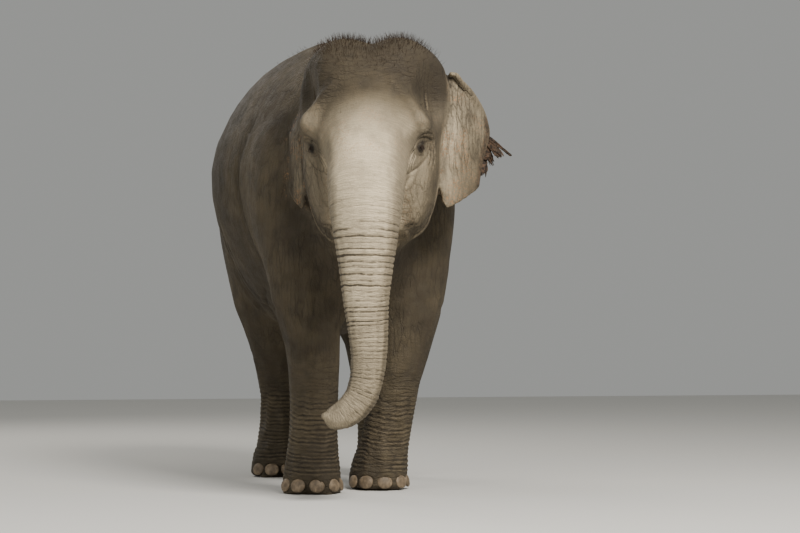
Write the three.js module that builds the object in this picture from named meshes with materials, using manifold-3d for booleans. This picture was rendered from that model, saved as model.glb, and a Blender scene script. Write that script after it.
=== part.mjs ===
// A life-size Asian elephant cow, standing in mid-stride with her head turned to her right and her trunk
// curled at the tip. Millimetres, +Z up, nose towards -Y, her left side towards +X, soles on Z = 0.
//
// The body is one implicit form: ellipsoids, limbs and a barrel of cross-sections, blended where they meet.
// It is meshed piece by piece and parted with thin cuts, so that neighbours meet face to face.

import * as THREE from 'three';
import { mergeVertices } from 'three/addons/utils/BufferGeometryUtils.js';
import Module from 'manifold-3d';

const wasm = await Module();
wasm.setup();

// ---------------------------------------------------------------------------------------------------------
// Driving dimensions, in the body's frame: the front legs stand near Y = 0
// ---------------------------------------------------------------------------------------------------------

const GAP = 0.35; // left between neighbouring pieces
const HEAD_CENTRE = [-28, -400, 1950];
const HEAD_TURN = THREE.MathUtils.degToRad(-21); // about the vertical, towards her right
const HIP_Y = 1480;

// Mesh size of each piece: fine where the form is fine
const CELL = { head: 45, jaw: 42, trunk: 52, neck: 90, torso: 148, leg: 98 };

// Barrel of the body: [y, top, belly, height of the widest line, half width]
const BARREL = [
  [-330, 2060, 1150, 1600, 190],
  [-180, 2190, 1010, 1600, 270],
  [0, 2285, 930, 1610, 370],
  [400, 2390, 860, 1620, 560],
  [800, 2445, 815, 1640, 640],
  [1150, 2400, 850, 1650, 630],
  [1500, 2250, 980, 1640, 520],
  [1750, 2040, 1180, 1600, 350],
  [1870, 1870, 1350, 1590, 190],
];
const BARREL_END = 90; // length of the rounding past either end of the barrel

// Legs, hip or shoulder to sole: [x, y, z, radius]
const LEGS = {
  front_right: [
    [-315, 240, 1740, 170], [-330, 170, 1500, 200], [-322, 80, 1250, 198], [-296, 20, 1000, 174],
    [-262, -15, 780, 147], [-258, -35, 480, 128], [-266, -48, 260, 132], [-274, -58, 110, 152],
    [-276, -60, 30, 160],
  ],
  front_left: [
    [315, 240, 1740, 170], [330, 180, 1500, 200], [318, 110, 1250, 198], [288, 75, 1000, 174],
    [242, 80, 740, 143], [200, 112, 480, 128], [158, 132, 270, 132], [128, 140, 110, 152],
    [124, 140, 30, 160],
  ],
  hind_right: [
    [-255, HIP_Y + 20, 1640, 225], [-290, HIP_Y - 50, 1360, 240], [-290, HIP_Y - 120, 1080, 210],
    [-252, HIP_Y - 150, 830, 158], [-218, HIP_Y - 100, 560, 122], [-214, HIP_Y - 130, 360, 116],
    [-226, HIP_Y - 185, 210, 121], [-244, HIP_Y - 222, 100, 138], [-250, HIP_Y - 225, 30, 146],
  ],
  hind_left: [
    [255, HIP_Y + 20, 1640, 225], [290, HIP_Y - 90, 1360, 240], [292, HIP_Y - 190, 1080, 210],
    [300, HIP_Y - 255, 830, 158], [318, HIP_Y - 250, 560, 122], [326, HIP_Y - 290, 360, 116],
    [330, HIP_Y - 345, 210, 121], [332, HIP_Y - 378, 100, 138], [332, HIP_Y - 380, 30, 146],
  ],
};
const LEG_DEPTH = 1.12; // front to back over side to side

// What a leg takes of the body round its bone line: [x, y, z, radius], mirrored for the other side
const SHOULDER_CUT = [
  [430, 190, 1800, 120], [400, 150, 1640, 250], [390, 60, 1300, 300], [330, 20, 1000, 290],
];
const THIGH_CUT = [
  [400, 1560, 1700, 130], [400, 1530, 1500, 290], [370, 1440, 1150, 330], [320, 1330, 900, 290],
];

// Trunk in the head's frame: [x, y, z, radius] from the forehead to the tip
const TRUNK = [
  [18, -110, 10, 175], [27, -225, -150, 198], [34, -325, -300, 196], [38, -398, -440, 189],
  [41, -436, -600, 168], [43, -448, -760, 143], [47, -450, -950, 116], [61, -446, -1195, 93],
  [49, -448, -1345, 85], [21, -452, -1431, 82], [-30, -460, -1493, 77], [-74, -467, -1521, 68],
  [-112, -469, -1531, 57],
];
const TRUNK_LENGTHS = ['trunk_middle', 'trunk_lower', 'trunk_tip'];
const TRUNK_CUTS = [0.43, 0.58, 0.72]; // shares of the trunk's curve where these lengths begin
const NOSTRIL = { radius: 13, depth: 70, apart: 18 };
const FINGER = [[-116, -504, -1524, 28], [-146, -500, -1520, 22], [-160, -474, -1521, 12]]; // over the tip

// Side outlines of the pieces of the head, as [y, z] in the head's frame
const HEAD_OUTLINE = [
  [190, 700], [190, -260], [120, -470], [70, -760], [70, -2500], [-2000, -2500], [-2000, 700],
];
const TRUNK_OUTLINE = [[-1200, 60], [-330, -390], [-225, -455], [-268, -620], [-268, -2500], [-1200, -2500]];
const JAW_OUTLINE = [
  [-225, -505], [-150, -470], [-70, -425], [10, -560], [20, -900], [-400, -900], [-400, -520],
];
const MOUTH = { width: 8, depth: 22 }; // the groove between the lips

// Eyes in the head's frame: height, and the direction that they look in
const EYE = { height: -182, out: 0.87, ahead: 0.49, radius: 24, sink: 15, lid: 9, slit: [25, 14] };

// Ears in the head's frame: the line they grow from, and the rim as [out along the ear, height]
const EAR = {
  root: [[322, 110, 190], [338, 80, 50], [325, 50, -130], [300, 30, -330]],
  rim: [
    [88, 218], [124, 220], [154, 185], [214, 138], [292, 66], [336, 17], [372, -44],
    [402, -89], [390, -159], [348, -235], [330, -309], [312, -363], [194, -421], [90, -517],
  ],
  // Directions at the root and the rim, in degrees back from sideways, and how much further the top is swept
  left: { near: 26, far: 64, swept: 0, width: 1 },
  right: { near: 22, far: 74, swept: 60, width: 0.7 },
  thick: [36, 13], // at the root and at the rim
  fold: 40, // how far the top edge rolls forward
};

// The torn back margin of the left ear, which stands out behind it: [share down the ear, out, down]
const TORN = {
  tips: [
    [0.51, 4, 4], [0.54, 116, 78], [0.575, 58, 66], [0.614, 48, 70], [0.65, 37, 64], [0.696, 21, 42],
    [0.764, 5, 5],
  ],
  angle: 12, // degrees back from sideways
  thick: 9,
};

const NAILS = { front: [-72, -36, 0, 36, 72], hind: [-54, -18, 18, 54] }; // degrees from straight ahead
const NAIL = { width: 84, height: 76, thickness: 32, lift: 6, proud: 8 };

// Tail: [x, y, z, radius], and the flat locks at its end
const TAIL = [
  [0, 1760, 1830, 70], [0, 1880, 1815, 66], [3, 1960, 1700, 52], [10, 1985, 1500, 40], [18, 1978, 1260, 30],
  [25, 1965, 1040, 23], [28, 1960, 880, 17],
];
const TAIL_CUT = 0.62;
const TUFT = { locks: 10, length: 240, width: 30, from: 0.8, lean: 0.5, drift: 0.4, sunk: 8, seed: 7 };

const LOOKS = {
  skin: { color: 0x82766a, roughness: 0.9, metalness: 0 },
  pale: { color: 0xa08c78, roughness: 0.9, metalness: 0 },
  eye: { color: 0x3a2418, roughness: 0.15, metalness: 0 },
  nail: { color: 0xa8977e, roughness: 0.6, metalness: 0 },
};

// ---------------------------------------------------------------------------------------------------------
// Implicit forms: a form is a function of a point, negative inside and roughly a distance in millimetres
// ---------------------------------------------------------------------------------------------------------

// Union of two values with the crease between them filled over about `soft` mm
function blend(a, b, soft) {
  const near = Math.max(soft - Math.abs(a - b), 0) / soft;
  return Math.min(a, b) - near * near * soft * 0.25;
}

const blendAll = (soft, ...forms) => (x, y, z) =>
  forms.reduce((d, form) => blend(d, form(x, y, z), soft), 1e4);

// A form less some hollows, with soft edges
const hollow = (soft, form, ...hollows) => (x, y, z) =>
  hollows.reduce((d, h) => -blend(-d, h(x, y, z), soft), form(x, y, z));

function ellipsoid([cx, cy, cz], [rx, ry, rz]) {
  return (x, y, z) => {
    const u = (x - cx) / rx;
    const v = (y - cy) / ry;
    const w = (z - cz) / rz;
    const reach = Math.hypot(u, v, w);
    return (reach * (reach - 1)) / Math.max(Math.hypot(u / rx, v / ry, w / rz), 1e-9);
  };
}

// The same form on both sides of the middle
const paired = (form) => (x, y, z) => form(Math.abs(x), y, z);

const vector = ([x, y, z]) => new THREE.Vector3(x, y, z);
const curveThrough = (points) => new THREE.CatmullRomCurve3(points.map(vector), false, 'catmullrom');

// Smooth curve through [x, y, z, radius] stations, read at a share of its length
function spine(stations) {
  const line = curveThrough(stations);
  const girth = curveThrough(stations.map((station) => [station[3], 0, 0]));
  const radius = (t) => girth.getPoint(t).x;
  return { at: (t) => line.getPoint(t), along: (t) => line.getTangent(t), radius };
}

// A round limb along a spine, `depth` times deeper from front to back than it is wide
function limb(stations, depth = 1) {
  const curve = spine(stations);
  const steps = (stations.length - 1) * 4;
  const knots = Array.from({ length: steps + 1 }, (_, i) => {
    const p = curve.at(i / steps);
    return [p.x, p.y / depth, p.z, curve.radius(i / steps)];
  });
  return (x, y, z) => {
    let nearest = 1e4;
    for (let i = 0; i < steps; i++) {
      const a = knots[i];
      const b = knots[i + 1];
      const [dx, dy, dz] = [b[0] - a[0], b[1] - a[1], b[2] - a[2]];
      const [px, py, pz] = [x - a[0], y / depth - a[1], z - a[2]];
      const t = Math.min(Math.max((px * dx + py * dy + pz * dz) / (dx * dx + dy * dy + dz * dz), 0), 1);
      const d = Math.hypot(px - t * dx, py - t * dy, pz - t * dz) - a[3] - t * (b[3] - a[3]);
      nearest = Math.min(nearest, d);
    }
    return nearest;
  };
}

// Smooth reading of a table whose first column rises
function readTable(rows, at) {
  const last = rows.length - 1;
  let i = 0;
  while (i < last - 1 && at > rows[i + 1][0]) i++;
  const slope = (j, k) => {
    const before = rows[Math.max(j - 1, 0)];
    const after = rows[Math.min(j + 1, last)];
    return (after[k] - before[k]) / (after[0] - before[0]);
  };
  const span = rows[i + 1][0] - rows[i][0];
  const t = Math.min(Math.max((at - rows[i][0]) / span, 0), 1);
  const ease = t * t * (3 - 2 * t);
  return rows[i].map((value, k) => {
    const start = slope(i, k) * span * t * (1 - t) * (1 - t);
    const end = slope(i + 1, k) * span * t * t * (1 - t);
    return value + (rows[i + 1][k] - value) * ease + start - end;
  });
}

// The barrel: egg-shaped sections, rounded off past both ends of its table
function barrel(x, y, z) {
  const first = BARREL[0][0];
  const last = BARREL[BARREL.length - 1][0];
  const [, top, belly, widest, half] = readTable(BARREL, y);
  const height = z > widest ? top - widest : widest - belly;
  const past = Math.max(first - y, y - last, 0) / BARREL_END;
  return (Math.hypot(x / half, (z - widest) / height, past) - 1) * Math.min(half, height);
}

// ---------------------------------------------------------------------------------------------------------
// The animal
// ---------------------------------------------------------------------------------------------------------

const turnSin = Math.sin(HEAD_TURN);
const turnCos = Math.cos(HEAD_TURN);

// A form made in the head's frame, read in the body's
const inHead = (form) => (x, y, z) => {
  const dx = x - HEAD_CENTRE[0];
  const dy = y - HEAD_CENTRE[1];
  return form(dx * turnCos + dy * turnSin, dy * turnCos - dx * turnSin, z - HEAD_CENTRE[2]);
};

const skull = blendAll(
  90,
  ellipsoid([0, 70, 40], [355, 320, 325]), // braincase
  paired(ellipsoid([148, 20, 206], [176, 215, 188])), // the two domes of the forehead
  ellipsoid([0, -110, -50], [280, 205, 330]), // face
  paired(ellipsoid([258, 110, 80], [130, 190, 230])), // back of the temples
  paired(ellipsoid([205, 20, -240], [140, 195, 270])), // cheeks
  paired(ellipsoid([272, -160, -60], [80, 76, 80])), // brows
);
const face = hollow(
  100,
  skull,
  paired(ellipsoid([412, -120, 105], [128, 140, 165])), // temple hollow over the eye
  paired(ellipsoid([368, -238, -175], [88, 90, 60])), // the eye's own hollow
  paired(ellipsoid([300, -320, -340], [90, 120, 170])), // between cheek and trunk
);
const jaw = blendAll(
  60,
  paired(ellipsoid([175, 50, -430], [148, 185, 213])), // angle of the jaw
  limb([[0, 40, -440, 150], [0, -60, -520, 135], [0, -130, -590, 105], [0, -185, -640, 55]]), // chin and lip
);
const trunk = limb(TRUNK);

// The trunk runs out of the forehead without a crease, and hangs clear of the lower lip
function headForm(x, y, z) {
  const soft = THREE.MathUtils.mapLinear(THREE.MathUtils.clamp(z, -520, -320), -520, -320, 12, 100);
  return blend(blend(face(x, y, z), jaw(x, y, z), 70), trunk(x, y, z), soft);
}
const head = inHead(headForm);

const neck = limb([[0, -330, 1810, 235], [0, -140, 1770, 275], [0, 100, 1720, 340]]);
const withers = limb([[0, -250, 2000, 185], [0, 150, 2085, 210], [0, 600, 2190, 215]]);
const shoulders = paired(ellipsoid([325, 240, 1560], [195, 245, 420]));
const rump = paired(ellipsoid([240, HIP_Y + 60, 1560], [260, 340, 400]));
const legForms = Object.values(LEGS).map((stations) => limb(stations, LEG_DEPTH));
const body = blendAll(110, blendAll(140, barrel, withers, neck, shoulders, rump), ...legForms);
const whole = (x, y, z) => blend(body(x, y, z), head(x, y, z), 110);

// ---------------------------------------------------------------------------------------------------------
// From forms to closed meshes
// ---------------------------------------------------------------------------------------------------------

// The edges of a cell, between corners numbered by their bits for x, y and z
const CELL_EDGES = [1, 2, 4].flatMap((bit) =>
  [0, 1, 2, 3, 4, 5, 6, 7].filter((corner) => !(corner & bit)).map((corner) => [corner, corner + bit]));

// Numbers a cell's inner corners by the sheet of surface that they lie under, and its outer corners -1
function sheets(corners) {
  const sheetOf = corners.map((value, c) => (value < 0 ? c : -1));
  for (let pass = 0; pass < 7; pass++) {
    for (const [a, b] of CELL_EDGES) {
      if (sheetOf[a] >= 0 && sheetOf[b] >= 0) sheetOf[a] = sheetOf[b] = Math.max(sheetOf[a], sheetOf[b]);
    }
  }
  return sheetOf;
}

// Surface nets: a vertex for each sheet of surface in a grid cell, and a quad across each crossed grid edge
function meshed(form, low, high, cell) {
  const [nx, ny, nz] = low.map((v, axis) => Math.ceil((high[axis] - v) / cell) + 1);
  const index = (i, j, k) => i + nx * (j + ny * k);
  const values = new Float32Array(nx * ny * nz);
  const cells = (visit, less) => {
    for (let k = 0; k < nz - less; k++)
      for (let j = 0; j < ny - less; j++)
        for (let i = 0; i < nx - less; i++) visit(i, j, k);
  };
  cells((i, j, k) => {
    const edge = i === 0 || j === 0 || k === 0 || i === nx - 1 || j === ny - 1 || k === nz - 1;
    const value = form(low[0] + i * cell, low[1] + j * cell, low[2] + k * cell);
    values[index(i, j, k)] = edge ? Math.max(value, cell / 2) : value;
  }, 0);

  const points = [];
  const pointOf = new Map();
  cells((i, j, k) => {
    const corner = (_, c) => values[index(i + (c & 1), j + ((c >> 1) & 1), k + (c >> 2))];
    const corners = Array.from({ length: 8 }, corner);
    const sheetOf = sheets(corners);
    for (const sheet of new Set(sheetOf.filter((n) => n >= 0))) {
      const sum = [0, 0, 0];
      let count = 0;
      for (const [a, b] of CELL_EDGES) {
        if (corners[a] < 0 === corners[b] < 0 || Math.max(sheetOf[a], sheetOf[b]) !== sheet) continue;
        const t = corners[a] / (corners[a] - corners[b]);
        for (let bit = 0; bit < 3; bit++) sum[bit] += ((a >> bit) & 1) * (1 - t) + ((b >> bit) & 1) * t;
        count++;
      }
      if (!count) continue;
      const at = [i, j, k].map((n, axis) => low[axis] + (n + sum[axis] / count) * cell);
      sheetOf.forEach((n, c) => n === sheet && pointOf.set(8 * index(i, j, k) + c, points.length / 3));
      points.push(...settled(form, at, cell));
    }
  }, 1);

  const triangles = [];
  const step = [1, nx, nx * ny];
  cells((i, j, k) => {
    const here = index(i, j, k);
    for (let axis = 0; axis < 3; axis++) {
      const inside = values[here] < 0;
      const level = [i, j, k].some((n, other) => n === 0 && other !== axis);
      if (level || inside === values[here + step[axis]] < 0) continue;
      const bits = [1 << ((axis + 1) % 3), 1 << ((axis + 2) % 3)];
      const [u, v] = [step[(axis + 1) % 3], step[(axis + 2) % 3]];
      const own = inside ? 0 : 1 << axis;
      const ring = [
        pointOf.get(8 * (here - u - v) + own + bits[0] + bits[1]),
        pointOf.get(8 * (here - v) + own + bits[1]),
        pointOf.get(8 * here + own),
        pointOf.get(8 * (here - u) + own + bits[0]),
      ];
      if (!inside) ring.reverse();
      triangles.push(...splitQuad(points, ring));
    }
  }, 1);
  return solidOf(geometryFrom(points, triangles));
}

// A point moved onto the surface, unless it lies on the flat side of the grid's own box
function settled(form, [x, y, z], cell) {
  const value = form(x, y, z);
  if (Math.abs(value) > cell * 0.4) return [x, y, z];
  const h = 2;
  const ahead = [form(x + h, y, z), form(x, y + h, z), form(x, y, z + h)];
  const slope = ahead.map((next) => (next - value) / h);
  const steepness = Math.max(slope[0] ** 2 + slope[1] ** 2 + slope[2] ** 2, 0.3);
  return [x, y, z].map((c, axis) => c - (value * slope[axis]) / steepness);
}

// Two triangles across the shorter diagonal
function splitQuad(points, [a, b, c, d]) {
  const far = (p, q) => Math.hypot(...[0, 1, 2].map((i) => points[3 * p + i] - points[3 * q + i]));
  return far(a, c) <= far(b, d) ? [a, b, c, a, c, d] : [a, b, d, b, c, d];
}

function geometryFrom(points, triangles) {
  const geometry = new THREE.BufferGeometry();
  geometry.setAttribute('position', new THREE.Float32BufferAttribute(points, 3));
  geometry.setIndex(triangles);
  return geometry;
}

function solidOf(geometry) {
  const bare = geometry.clone();
  bare.deleteAttribute('normal');
  bare.deleteAttribute('uv');
  const merged = mergeVertices(bare, 1e-3);
  const vertProperties = new Float32Array(merged.attributes.position.array);
  const triVerts = new Uint32Array(merged.index.array);
  return new wasm.Manifold(new wasm.Mesh({ numProp: 3, vertProperties, triVerts }));
}

function geometryOf(solid) {
  const mesh = solid.getMesh();
  return geometryFrom(Array.from(mesh.vertProperties), Array.from(mesh.triVerts));
}

// The largest closed surface of a solid, without loose scraps
const largest = (solid) => solid.decompose().reduce((a, b) => (a.volume() > b.volume() ? a : b));

// A solid whose vertices are pushed out along their normals
function swollen(solid, by) {
  const geometry = geometryOf(solid);
  geometry.computeVertexNormals();
  const place = geometry.attributes.position;
  const normal = geometry.attributes.normal;
  for (let i = 0; i < place.count; i++) {
    place.setXYZ(i, place.getX(i) + by * normal.getX(i), place.getY(i) + by * normal.getY(i),
      place.getZ(i) + by * normal.getZ(i));
  }
  return solidOf(geometry);
}

// ---------------------------------------------------------------------------------------------------------
// Shapes to cut with and to add
// ---------------------------------------------------------------------------------------------------------

const REACH = 4000; // longer than the animal

const placedOnHead = (geometry) => geometry.rotateZ(HEAD_TURN).translate(...HEAD_CENTRE);

const turnTo = (from, to) => new THREE.Quaternion().setFromUnitVectors(from, to);

// Everything past a plane, starting `shift` mm beyond it
function beyond(point, direction, shift = 0) {
  const block = new THREE.BoxGeometry(2 * REACH, 2 * REACH, REACH).translate(0, 0, REACH / 2 + shift);
  const turn = turnTo(new THREE.Vector3(0, 0, 1), direction.clone().normalize());
  return block.applyQuaternion(turn).translate(point.x, point.y, point.z);
}

// A prism across the head from a side outline, moved by `back` and `up`
function acrossHead(outline, back = 0, up = 0, halfWidth = 700) {
  const shape = new THREE.Shape(outline.map(([y, z]) => new THREE.Vector2(y + back, z + up)));
  const prism = new THREE.ExtrudeGeometry(shape, { depth: 2 * halfWidth, bevelEnabled: false });
  prism.translate(0, 0, -halfWidth);
  const sideways = new THREE.Matrix4().makeBasis(
    new THREE.Vector3(0, 1, 0), new THREE.Vector3(0, 0, 1), new THREE.Vector3(1, 0, 0));
  return solidOf(placedOnHead(prism.applyMatrix4(sideways)));
}

// How far each ring of a grown tube moves along it, so that its ends grow too
const endShift = (i, count, grow) => (i === 0 ? -grow : i === count ? grow : 0);

// A closed tube of rings, each an array of points; the first and last ring are closed with a middle point
function tubeOfRings(rings) {
  const sides = rings[0].length;
  const middle = (ring) => ring.reduce((sum, p) => sum.add(p), new THREE.Vector3()).divideScalar(sides);
  const ends = [middle(rings[0]), middle(rings[rings.length - 1])];
  const points = [...rings.flat(), ...ends].flatMap((p) => [p.x, p.y, p.z]);
  const [start, end] = [rings.length * sides, rings.length * sides + 1];
  const triangles = [];
  for (let j = 0; j < sides; j++) {
    const k = (j + 1) % sides;
    for (let i = 0; i < rings.length - 1; i++) {
      const [a, b, c, d] = [i * sides + j, i * sides + k, (i + 1) * sides + k, (i + 1) * sides + j];
      triangles.push(a, b, c, a, c, d);
    }
    triangles.push(start, k, j, end, (rings.length - 1) * sides + j, (rings.length - 1) * sides + k);
  }
  return solidOf(geometryFrom(points, triangles));
}

// A round tube down a spine, `grow` mm wider, with level rings `depth` times deeper than wide
function levelTube(stations, grow = 0, depth = 1, sides = 24, count = 16) {
  const curve = spine(stations);
  const rings = Array.from({ length: count + 1 }, (_, i) => {
    const centre = curve.at(i / count);
    centre.z -= endShift(i, count, grow);
    const radius = curve.radius(i / count) + grow;
    return Array.from({ length: sides }, (__, j) => {
      const a = (-2 * Math.PI * j) / sides;
      return new THREE.Vector3(radius * Math.cos(a), depth * radius * Math.sin(a), 0).add(centre);
    });
  });
  return tubeOfRings(rings);
}

// A tube whose rings stand square to its spine and start on the side of `from`
function sweptTube(stations, grow = 0, sides = 10, count = 20, from = [1, 0, 0]) {
  const curve = spine(stations);
  const side = new THREE.Vector3(...from);
  const rings = Array.from({ length: count + 1 }, (_, i) => {
    const along = curve.along(i / count).normalize();
    const across = side.clone().addScaledVector(along, -side.dot(along)).normalize();
    const third = new THREE.Vector3().crossVectors(along, across);
    const radius = curve.radius(i / count) + grow;
    const centre = curve.at(i / count).addScaledVector(along, endShift(i, count, grow));
    return Array.from({ length: sides }, (__, j) => {
      const a = (2 * Math.PI * j) / sides;
      const [u, v] = [radius * Math.cos(a), radius * Math.sin(a)];
      return centre.clone().addScaledVector(across, u).addScaledVector(third, v);
    });
  });
  return tubeOfRings(rings);
}

// ---------------------------------------------------------------------------------------------------------
// Cuts between the pieces
// ---------------------------------------------------------------------------------------------------------

const mirrored = (stations) => stations.map(([x, ...rest]) => [-x, ...rest]);

const floor = solidOf(beyond(vector([0, 0, 0]), vector([0, 0, -1])));
const headSide = acrossHead(HEAD_OUTLINE);
const headSideWide = acrossHead(HEAD_OUTLINE, GAP, -GAP);
const trunkSide = acrossHead(TRUNK_OUTLINE);
const trunkSideWide = acrossHead(TRUNK_OUTLINE, GAP, GAP);
const jawSide = acrossHead(JAW_OUTLINE);
const jawSideWide = acrossHead(JAW_OUTLINE, GAP, GAP);

// Neck and torso meet on a plane from the withers down to the front of the chest
const COLLAR = { point: vector([0, 10, 1780]), back: vector([0, 1, -0.46]) };
const behindCollar = (shift) => solidOf(beyond(COLLAR.point, COLLAR.back, shift));

const legCuts = {
  front_right: mirrored(SHOULDER_CUT),
  front_left: SHOULDER_CUT,
  hind_right: mirrored(THIGH_CUT),
  hind_left: THIGH_CUT,
};

// The room that a leg takes: its part of the flank, and all of the free leg below
function legRoom(name, grow) {
  const low = legCuts[name][3];
  const down = LEGS[name].filter((s) => s[2] < 800).map(([x, y, z, r]) => [x, y, z, r + 60]);
  const foot = [...down[down.length - 1]];
  foot[2] = -60;
  const stations = [...legCuts[name].slice(0, 3), low, ...down, foot];
  return levelTube(stations, grow, LEG_DEPTH, 16, 14);
}

// ---------------------------------------------------------------------------------------------------------
// Pieces
// ---------------------------------------------------------------------------------------------------------

const animal = new THREE.Group();

function add(name, solid, look) {
  const mesh = new THREE.Mesh(geometryOf(largest(solid)), new THREE.MeshStandardMaterial(LOOKS[look]));
  mesh.name = name;
  animal.add(mesh);
}

// --- Head, jaw and trunk ---

const JAW_BOX = [[-420, -760, 1120], [420, 40, 1620]];
const headBlock = meshed(whole, [-560, -960, 1150], [560, 120, 2480], CELL.head);
const jawBlock = meshed(whole, ...JAW_BOX, CELL.jaw);
const trunkBlock = meshed(head, [-460, -1100, 330], [260, -480, 1700], CELL.trunk);

// Where a ray from outside meets the head, in the head's frame
function onHead(from, toward) {
  const step = toward.clone().normalize();
  const point = from.clone();
  for (let i = 0; i < 60; i++) point.addScaledVector(step, 0.8 * headForm(point.x, point.y, point.z));
  return point;
}

// Each eye sits in a socket under a rim of lids, which part in an almond slit
const eyeballs = [-1, 1].map((side) => {
  const out = new THREE.Vector3(side * EYE.out, -EYE.ahead, 0).normalize();
  const middle = onHead(out.clone().multiplyScalar(700).setZ(EYE.height), out.clone().negate());
  return { side, out, centre: middle.addScaledVector(out, -EYE.sink) };
});

const BALL = { around: 12, down: 7 }; // faces of an eyeball

function ballAt(centre, radius) {
  const ball = new THREE.SphereGeometry(radius, BALL.around, BALL.down);
  return solidOf(placedOnHead(ball.translate(centre.x, centre.y, centre.z)));
}

function almondSlit({ side, out, centre }) {
  const [halfLong, halfHigh] = EYE.slit;
  const shape = new THREE.Shape();
  shape.moveTo(-halfLong, 0);
  shape.quadraticCurveTo(0, 2 * halfHigh, halfLong, 0);
  shape.quadraticCurveTo(0, -1.6 * halfHigh, -halfLong, 0);
  const slit = new THREE.ExtrudeGeometry(shape, { depth: 90, bevelEnabled: false, curveSegments: 5 });
  slit.rotateZ(side * 0.3);
  slit.rotateX(Math.PI / 2);
  slit.rotateZ(Math.atan2(out.x, -out.y));
  return solidOf(placedOnHead(slit.translate(centre.x, centre.y, centre.z)));
}

let headSolid = headBlock.intersect(headSide).subtract(trunkSideWide).subtract(jawSideWide);
for (const eye of eyeballs) {
  const slit = almondSlit(eye);
  const lids = ballAt(eye.centre, EYE.radius + EYE.lid).subtract(slit);
  headSolid = headSolid.add(lids).subtract(slit).subtract(ballAt(eye.centre, EYE.radius + GAP));
}

// The line of the mouth: a shallow groove along the upper edge of the jaw
const mouthLine = JAW_OUTLINE.slice(0, 3);
const mouthBand = [...mouthLine, ...mouthLine.map(([y, z]) => [y, z + MOUTH.width]).reverse()];
const core = meshed((x, y, z) => head(x, y, z) + MOUTH.depth, ...JAW_BOX, CELL.jaw);
const groove = acrossHead(mouthBand, -1, -MOUTH.width / 2).subtract(core);

const jawSolid = jawBlock.intersect(headSide).intersect(jawSide).subtract(trunkSideWide);
add('head', headSolid.subtract(groove), 'skin');
add('lower_jaw', jawSolid.subtract(groove), 'skin');
for (const eye of eyeballs) {
  add(eye.side < 0 ? 'eye_right' : 'eye_left', ballAt(eye.centre, EYE.radius), 'eye');
}

// Two nostrils in the tip, and the finger on its front edge
const trunkLine = spine(TRUNK);
const tip = trunkLine.at(1);
const tipAlong = trunkLine.along(1).normalize();
const tipEnd = TRUNK[TRUNK.length - 1][3];
const nostrils = [-1, 1].map((side) => {
  const bore = new THREE.CylinderGeometry(NOSTRIL.radius, NOSTRIL.radius * 0.7, NOSTRIL.depth, 10);
  bore.applyQuaternion(turnTo(new THREE.Vector3(0, 1, 0), tipAlong));
  const place = tip.clone().addScaledVector(tipAlong, tipEnd - NOSTRIL.depth * 0.3);
  return solidOf(placedOnHead(bore.translate(place.x, place.y + side * NOSTRIL.apart, place.z)));
});

const onBody = (direction) => direction.applyAxisAngle(new THREE.Vector3(0, 0, 1), HEAD_TURN);
const finger = solidOf(placedOnHead(geometryOf(sweptTube(FINGER, 0, 8, 4, [0, 0, 1]))));
let rest = trunkBlock.intersect(trunkSide).add(finger);
let above = 'trunk_upper';
TRUNK_LENGTHS.forEach((name, i) => {
  const at = onBody(trunkLine.at(TRUNK_CUTS[i])).add(vector(HEAD_CENTRE));
  const along = onBody(trunkLine.along(TRUNK_CUTS[i]));
  add(above, rest.subtract(solidOf(beyond(at, along))), 'pale');
  rest = rest.intersect(solidOf(beyond(at, along, GAP)));
  above = name;
});
add(above, nostrils.reduce((solid, nostril) => solid.subtract(nostril), rest), 'pale');

// --- Legs with their nails ---

const BOXES = { front: [-520, 560], hind: [HIP_Y - 780, HIP_Y + 560] };
const legBlocks = {};
for (const name of Object.keys(LEGS)) {
  const [pair, side] = name.split('_');
  const [from, to] = side === 'left' ? [-120, 760] : [-760, 40];
  legBlocks[name] = meshed(whole, [from, BOXES[pair][0], -70], [to, BOXES[pair][1], 1960], CELL.leg);
  let leg = legBlocks[name].intersect(legRoom(name, 0)).subtract(floor).subtract(headSideWide);
  const [footX, footY, , footRadius] = LEGS[name][LEGS[name].length - 1];
  NAILS[pair].forEach((degrees, i) => {
    const angle = THREE.MathUtils.degToRad(degrees);
    const out = footRadius + NAIL.proud - NAIL.thickness / 2 - 6;
    const shaped = (grow) => {
      const nail = new THREE.SphereGeometry(0.5, 8, 4).rotateX(Math.PI / 2);
      nail.scale(NAIL.width + 2 * grow, NAIL.thickness + 2 * grow, NAIL.height + 2 * grow).rotateX(-0.22);
      nail.translate(0, -out * LEG_DEPTH ** Math.cos(angle), NAIL.lift + NAIL.height / 2).rotateZ(-angle);
      return solidOf(nail.translate(footX, footY, 0));
    };
    leg = leg.subtract(shaped(GAP));
    add(`nail_${name}_${i + 1}`, shaped(0), 'nail');
  });
  add(`leg_${name}`, leg, 'skin');
}

// --- Neck, torso and tail ---

const legRooms = Object.keys(LEGS).map((name) => legRoom(name, GAP));
const withoutLegs = (solid) => legRooms.reduce((rest, room) => rest.subtract(room), solid);

const neckBlock = meshed(whole, [-760, -620, 1000], [760, 460, 2420], CELL.neck);
add('neck', withoutLegs(neckBlock.subtract(headSideWide).subtract(behindCollar(0))), 'skin');

const torsoBlock = meshed(whole, [-800, -640, 640], [800, 2180, 2560], CELL.torso);
const torsoCut = torsoBlock.subtract(headSideWide).intersect(behindCollar(GAP));
add('torso', withoutLegs(torsoCut).subtract(sweptTube(TAIL, GAP)), 'skin');

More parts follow.
